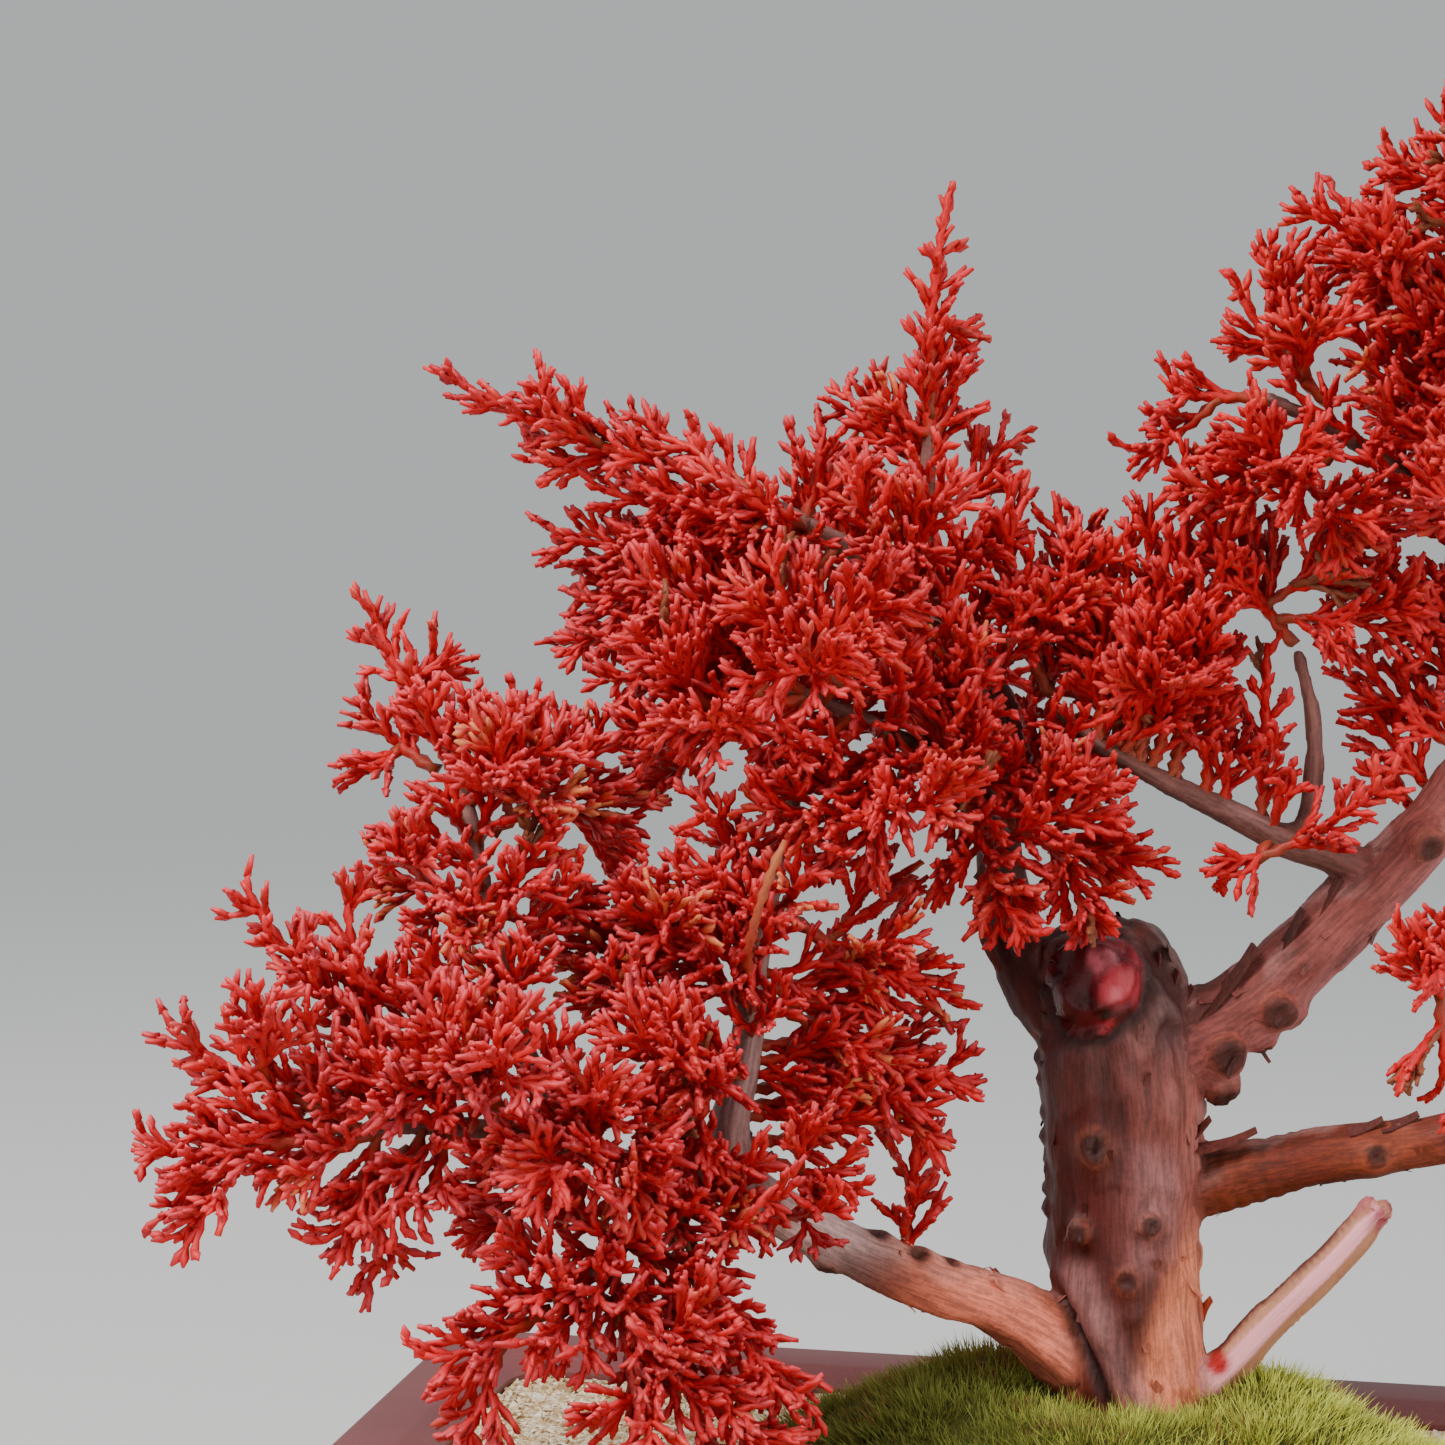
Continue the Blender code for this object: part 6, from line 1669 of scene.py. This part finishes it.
# %% Sand materials
grain, grain_shader = new_material("crushed_granite_grains", Roughness=0.6, Specular_IOR_Level=0.4)
grain_mark = add(grain, "Attribute", {"attribute_name": "look"})
grain_parts = add(grain, "SeparateColor", None, {0: grain_mark.outputs["Color"]})
minerals = add(grain, "ValToRGB", None, {0: grain_parts.outputs[0]})
sand_bed, bed_shader = new_material("crushed_granite_bed", Roughness=0.9, Specular_IOR_Level=0.3)
bed_place = add(sand_bed, "TexCoord")
bed_cells = add(sand_bed, "TexVoronoi", None,
                {"Vector": bed_place.outputs["Object"], "Scale": 1.0 / (0.8 * MM)})
bed_parts = add(sand_bed, "SeparateColor", None, {0: bed_cells.outputs["Color"]})
bed_minerals = add(sand_bed, "ValToRGB", None, {0: bed_parts.outputs[0]})
MINERALS = ((0.0, "#6B5138"), (0.06, "#A88A62"), (0.3, "#C4A87F"), (0.55, "#D8C19B"), (0.8, "#E8D9BC"),
            (1.0, "#F2E9D6"))
for ramp in (minerals.color_ramp, bed_minerals.color_ramp):
    for _ in MINERALS[2:]:
        ramp.elements.new(0.5)
    for stop, (position, colour) in zip(ramp.elements, MINERALS):
        stop.position = position
        stop.color = linear(colour)
bed_bump = add(sand_bed, "Bump", {"invert": True},
               {"Height": bed_cells.outputs["Distance"], "Strength": 1.0, "Distance": 0.5 * MM})
feed(grain, grain_shader, Base_Color=minerals.outputs[0])
feed(sand_bed, bed_shader, Base_Color=bed_minerals.outputs[0], Normal=bed_bump.outputs[0])
dress("sand", sand_bed)
grains = piece_of("sand_grains", sand_points * MM, sand_faces, grain,
                  {"look": grain_look}, False)
print("sand pieces:", grains.name, triangle_count(grains))

# %% [markdown]
# ## The pot
# The pot is a slab-built clay rectangle with rounded corners, a broad flat lip and four angled feet. Its
# walls are one outline drawn at many heights, so a plane with rounded corners is extruded level by level,
# and each level is scaled to the pot's profile. The feet are boxes that are joined to it, and two drain
# holes are cut through its floor.

# %% Pot profile
POT_LENGTH = 192.0
POT_WIDTH = 112.0
CORNER_RADIUS = 11.0
CORNER_STEPS = 10
FOOT_HEIGHT = 5.0
FLOOR_TOP = 11.0
LIP_FACE = 7.0
LIP_FLAT = 8.5
LIP_OVERHANG = 5.5
WALL_DRAFT = 6.5
WALL_THICKNESS = 7.0
FOOT_LENGTH = 30.0
FOOT_BREADTH = 18.0
FOOT_BAND = 8.0
DRAIN_RADIUS = 7.0
DRAIN_OFFSET = 42.0
ROUND_STEPS = 4


def wall_inset(height):
    """How far the outer wall stands in from the lip's edge at a height."""
    share = (POT_TOP - LIP_FACE - height) / (POT_TOP - LIP_FACE - FOOT_HEIGHT)
    return LIP_OVERHANG + WALL_DRAFT * share


def arc(inset, height, radius, start, end):
    """Levels round an edge: points on an arc about a middle, from one angle to another in degrees."""
    turns = np.radians(np.linspace(start, end, ROUND_STEPS + 1))
    return [(inset + radius * math.cos(a), height + radius * math.sin(a)) for a in turns]


LIP_FOOT = POT_TOP - LIP_FACE
EDGE_ROUND = 1.0
FOOT_ROUND = 2.0
CHAMFER_WIDTH = 4.5
CHAMFER_DEPTH = 2.0
POT_LEVELS = (
    arc(wall_inset(FOOT_HEIGHT) + FOOT_ROUND, FOOT_HEIGHT + FOOT_ROUND, FOOT_ROUND, 270, 180)
    + [(wall_inset(height), height) for height in (14.0, 26.0, LIP_FOOT - 4.0, LIP_FOOT - 2.0)]
    + arc(LIP_OVERHANG - EDGE_ROUND, LIP_FOOT - 2 * EDGE_ROUND, EDGE_ROUND, 0, 90)
    + arc(EDGE_ROUND, LIP_FOOT, EDGE_ROUND, 270, 180)
    + arc(EDGE_ROUND, POT_TOP - EDGE_ROUND, EDGE_ROUND, 180, 90)
    + [(LIP_FLAT - 0.5, POT_TOP), (LIP_FLAT + 0.2, POT_TOP - 0.15),
       (LIP_FLAT + CHAMFER_WIDTH, POT_TOP - CHAMFER_DEPTH), (LIP_FLAT + CHAMFER_WIDTH + 0.3, LIP_FOOT),
       (wall_inset(20.0) + WALL_THICKNESS, 20.0),
       (wall_inset(FLOOR_TOP) + WALL_THICKNESS + 1.0, FLOOR_TOP + 1.0),
       (wall_inset(FLOOR_TOP) + WALL_THICKNESS + 3.0, FLOOR_TOP)])
print("pot profile levels:", len(POT_LEVELS))

# %% Pot walls
def half_sides(inset):
    """Half the length and breadth of the pot's outline at an inset from the lip's edge."""
    return POT_LENGTH / 2 - inset, POT_WIDTH / 2 - inset


deselect()
inset, height = POT_LEVELS[0]
half_x, half_y = half_sides(inset)
bpy.ops.mesh.primitive_plane_add(size=2.0)
edit_all()
bpy.ops.transform.resize(value=(half_x, half_y, 1.0), center_override=(0, 0, 0))
bpy.ops.mesh.bevel(offset=CORNER_RADIUS - inset / 3, segments=CORNER_STEPS, affect="VERTICES")
bpy.ops.mesh.select_all(action="SELECT")
bpy.ops.transform.translate(value=(0.0, 0.0, height))
for inset, level in POT_LEVELS[1:]:
    bpy.ops.mesh.extrude_region_move(TRANSFORM_OT_translate={"value": (0.0, 0.0, level - height)})
    next_x, next_y = half_sides(inset)
    bpy.ops.transform.resize(value=(next_x / half_x, next_y / half_y, 1.0), center_override=(0, 0, level))
    half_x, half_y, height = next_x, next_y, level
bpy.ops.mesh.select_all(action="SELECT")
bpy.ops.mesh.normals_make_consistent(inside=False)
bpy.ops.object.mode_set(mode="OBJECT")
pot_model = bpy.context.object
print("pot walls:", len(pot_model.data.polygons), "faces")

# %% Feet and drain holes
def block(low, high):
    """A box between two corners with softened edges."""
    deselect()
    bpy.ops.mesh.primitive_cube_add(size=1.0)
    item = bpy.context.object
    low, high = np.array(low), np.array(high)
    item.scale = high - low
    item.location = (low + high) / 2
    bpy.ops.object.transform_apply(location=True, scale=True)
    apply_modifier(item, "BEVEL", width=FOOT_EDGE, segments=2)
    return item


def combine(item, tool, operation):
    """Join a tool object to an item or cut it away, and remove the tool."""
    apply_modifier(item, "BOOLEAN", operation=operation, object=tool, solver="MANIFOLD")
    bpy.data.objects.remove(tool)


FOOT_EDGE = 0.7
# The second box of a foot stands this much inside the first, because shared faces spoil the join
SHY = 0.06
CORNERS_OF_POT = ((1, 1), (-1, 1), (-1, -1), (1, -1))
foot_x, foot_y = half_sides(wall_inset(FOOT_HEIGHT) + 1.5)
for sx, sy in CORNERS_OF_POT:
    for reach_x, reach_y, shy in ((FOOT_LENGTH, FOOT_BAND, 0.0), (FOOT_BAND, FOOT_BREADTH, SHY)):
        corners = np.array(((sx * (foot_x - reach_x), sy * (foot_y - reach_y), shy),
                            (sx * (foot_x - shy), sy * (foot_y - shy), FOOT_HEIGHT + 1.0 + shy)))
        combine(pot_model, block(corners.min(axis=0), corners.max(axis=0)), "UNION")
for side in (-1, 1):
    deselect()
    bpy.ops.mesh.primitive_cylinder_add(vertices=32, radius=DRAIN_RADIUS, depth=4 * FOOT_HEIGHT,
                                        location=(side * DRAIN_OFFSET, 0.0, FLOOR_TOP))
    combine(pot_model, bpy.context.object, "DIFFERENCE")
print("pot with feet and holes:", len(pot_model.data.polygons), "faces")

# %% [markdown]
# ### Clay as a material
# The pot is unglazed stoneware of a fine purple-brown clay. It was rubbed smooth before firing, so it has
# a low sheen, with a faint mottle where the kiln's air reached it and a scatter of paler specks.

# %% Pot material
SHARP_EDGE = math.radians(32)
clay, clay_shader = new_material("unglazed_purple_stoneware", Roughness=0.42, Specular_IOR_Level=0.45)
clay_place = add(clay, "TexCoord")
clay_cloud = add(clay, "TexNoise", None,
                 {"Vector": clay_place.outputs["Object"], "Scale": 1.0 / (22.0 * MM), "Detail": 4.0})
clay_grain = add(clay, "TexNoise", None,
                 {"Vector": clay_place.outputs["Object"], "Scale": 1.0 / (0.5 * MM), "Detail": 2.0})
clay_tone = add(clay, "Mix", COLOURS,
                {0: clay_cloud.outputs["Fac"], 6: linear("#5E2C2C"), 7: linear("#86484A")})
clay_specks = add(clay, "MapRange", None,
                  {"Value": clay_grain.outputs["Fac"], "From Min": 0.62, "From Max": 0.75, "To Max": 0.35})
clay_colour = add(clay, "Mix", COLOURS,
                  {0: clay_specks.outputs[0], 6: clay_tone.outputs[2], 7: linear("#9C6A66")})
clay_bump = add(clay, "Bump", None,
                {"Height": clay_grain.outputs["Fac"], "Strength": 0.25, "Distance": 0.15 * MM})
feed(clay, clay_shader, Base_Color=clay_colour.outputs[2], Normal=clay_bump.outputs[0])

# The joined pot's points and faces come in any order, so they are sorted to be the same in each run
pot_points = np.array([v.co for v in pot_model.data.vertices])
order = np.lexsort(pot_points.T)
rank = np.argsort(order).tolist()
pot_faces = [[rank[k] for k in p.vertices] for p in pot_model.data.polygons]
pot_faces = sorted(face[face.index(min(face)):] + face[:face.index(min(face))] for face in pot_faces)
pot_points = pot_points[order]
bpy.data.objects.remove(pot_model)
pot = piece_of("pot_of_clay", (pot_points + (*POT_MIDDLE, 0.0)) * MM, pot_faces, clay)
select_only(pot)
bpy.ops.object.shade_smooth_by_angle(angle=SHARP_EDGE)
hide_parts("pot")
print("pot:", triangle_count(pot), "triangles")

# %% [markdown]
# ## Inside the pot
# The soil and the drain screens are hidden under the sand, and they show only if the pot is opened. Soil
# for junipers is baked clay grit, tan with red-brown and grey grains. The screens are black plastic mesh.

# %% Soil and screens
grit, grit_shader = new_material("baked_clay_grit", Roughness=0.9)
grit_place = add(grit, "TexCoord")
grit_cells = add(grit, "TexVoronoi", None,
                 {"Vector": grit_place.outputs["Object"], "Scale": 1.0 / (3.0 * MM)})
grit_parts = add(grit, "SeparateColor", None, {0: grit_cells.outputs["Color"]})
grit_tone = add(grit, "Mix", COLOURS,
                {0: grit_parts.outputs[0], 6: linear("#5A4030"), 7: linear("#B0885E")})
grit_bump = add(grit, "Bump", {"invert": True},
                {"Height": grit_cells.outputs["Distance"], "Strength": 1.0, "Distance": 1.0 * MM})
feed(grit, grit_shader, Base_Color=grit_tone.outputs[2], Normal=grit_bump.outputs[0])
dress("soil", grit)

screen, _ = new_material("black_moulded_polythene", Roughness=0.55, Base_Color=linear("#1A1B1C"))
dress("drain_screen_left", screen)
dress("drain_screen_right", screen)
print("soil and screens are dressed")

# %% [markdown]
# ## Floor and light
# The photograph has a plain pale background and soft light from the upper left. A wide pale floor fades
# into a sky of the same grey, so no horizon line crosses the picture. One large soft lamp makes the form,
# and a weaker one opens the shadows.

# %% Floor, sky and lamps
FLOOR_HALF = 4.0
FLOOR_GAP = 0.0002
# The floor fades into the sky between these distances in metres
FADE_FROM, FADE_TO = 0.35, 1.3
SKY, SKY_STRENGTH = "#B4B7B8", 1.08
LAMP_AIM = (0.0, 0.0, 80.0)

deselect()
bpy.ops.mesh.primitive_plane_add(size=2 * FLOOR_HALF, location=(0, 0, CAD_LOW.z - FLOOR_GAP))
floor = bpy.context.object
floor.name = "floor"
bpy.ops.object.transform_apply(location=True)
floor_paper, floor_shader = new_material("matt_paper_floor", Roughness=0.9, Base_Color=linear("#D6D8D8"))
place = add(floor_paper, "TexCoord")
away = add(floor_paper, "VectorMath", {"operation": "LENGTH"}, {0: place.outputs["Object"]})
fading = add(floor_paper, "MapRange", {"interpolation_type": "SMOOTHSTEP"},
             {"Value": away.outputs["Value"], "From Min": FADE_FROM, "From Max": FADE_TO})
clear = add(floor_paper, "BsdfTransparent")
blend = add(floor_paper, "MixShader", None,
            {0: fading.outputs[0], 1: floor_shader.outputs[0], 2: clear.outputs[0]})
output = floor_paper.node_tree.nodes["Material Output"]
floor_paper.node_tree.links.new(blend.outputs[0], output.inputs["Surface"])
floor.data.materials.append(floor_paper)
floor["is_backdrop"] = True

sky = bpy.data.worlds.new("studio_sky")
sky.use_nodes = True
sky.node_tree.nodes["Background"].inputs["Color"].default_value = linear(SKY)
sky.node_tree.nodes["Background"].inputs["Strength"].default_value = SKY_STRENGTH
bpy.context.scene.world = sky


def lamp(name, place, size, watts, colour):
    """A square soft lamp at a place round the tree, aimed at its middle."""
    data = bpy.data.lights.new(name, "AREA")
    data.size = size
    data.energy = watts
    data.color = linear(colour)[:3]
    item = bpy.data.objects.new(name, data)
    bpy.context.scene.collection.objects.link(item)
    item.location = on_tree(place)
    aim = Vector(on_tree(LAMP_AIM)) - item.location
    item.rotation_euler = aim.to_track_quat("-Z", "Y").to_euler()
    return item


lamp("window_light", (-500.0, -420.0, 760.0), 0.5, 13.0, "#FFFBF6")
lamp("fill_light", (650.0, -450.0, 300.0), 0.7, 4.5, "#FFFDFA")
print("floor, sky and two lamps are set")

# %% [markdown]
# ## Sizes and finish
# Both boxes, of the imported tree and of the dressed one, are kept in one table, and the dressed tree's box
# is printed. The dressed tree has to stay in the box of the imported one.

# %% Sizes and finish
low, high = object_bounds()
sizes = {"cad": [list(CAD_LOW), list(CAD_HIGH)], "visual": [list(low), list(high)]}
print("box of the dressed tree in mm:", [round(1000 * value, 1) for value in (*low, *high)])
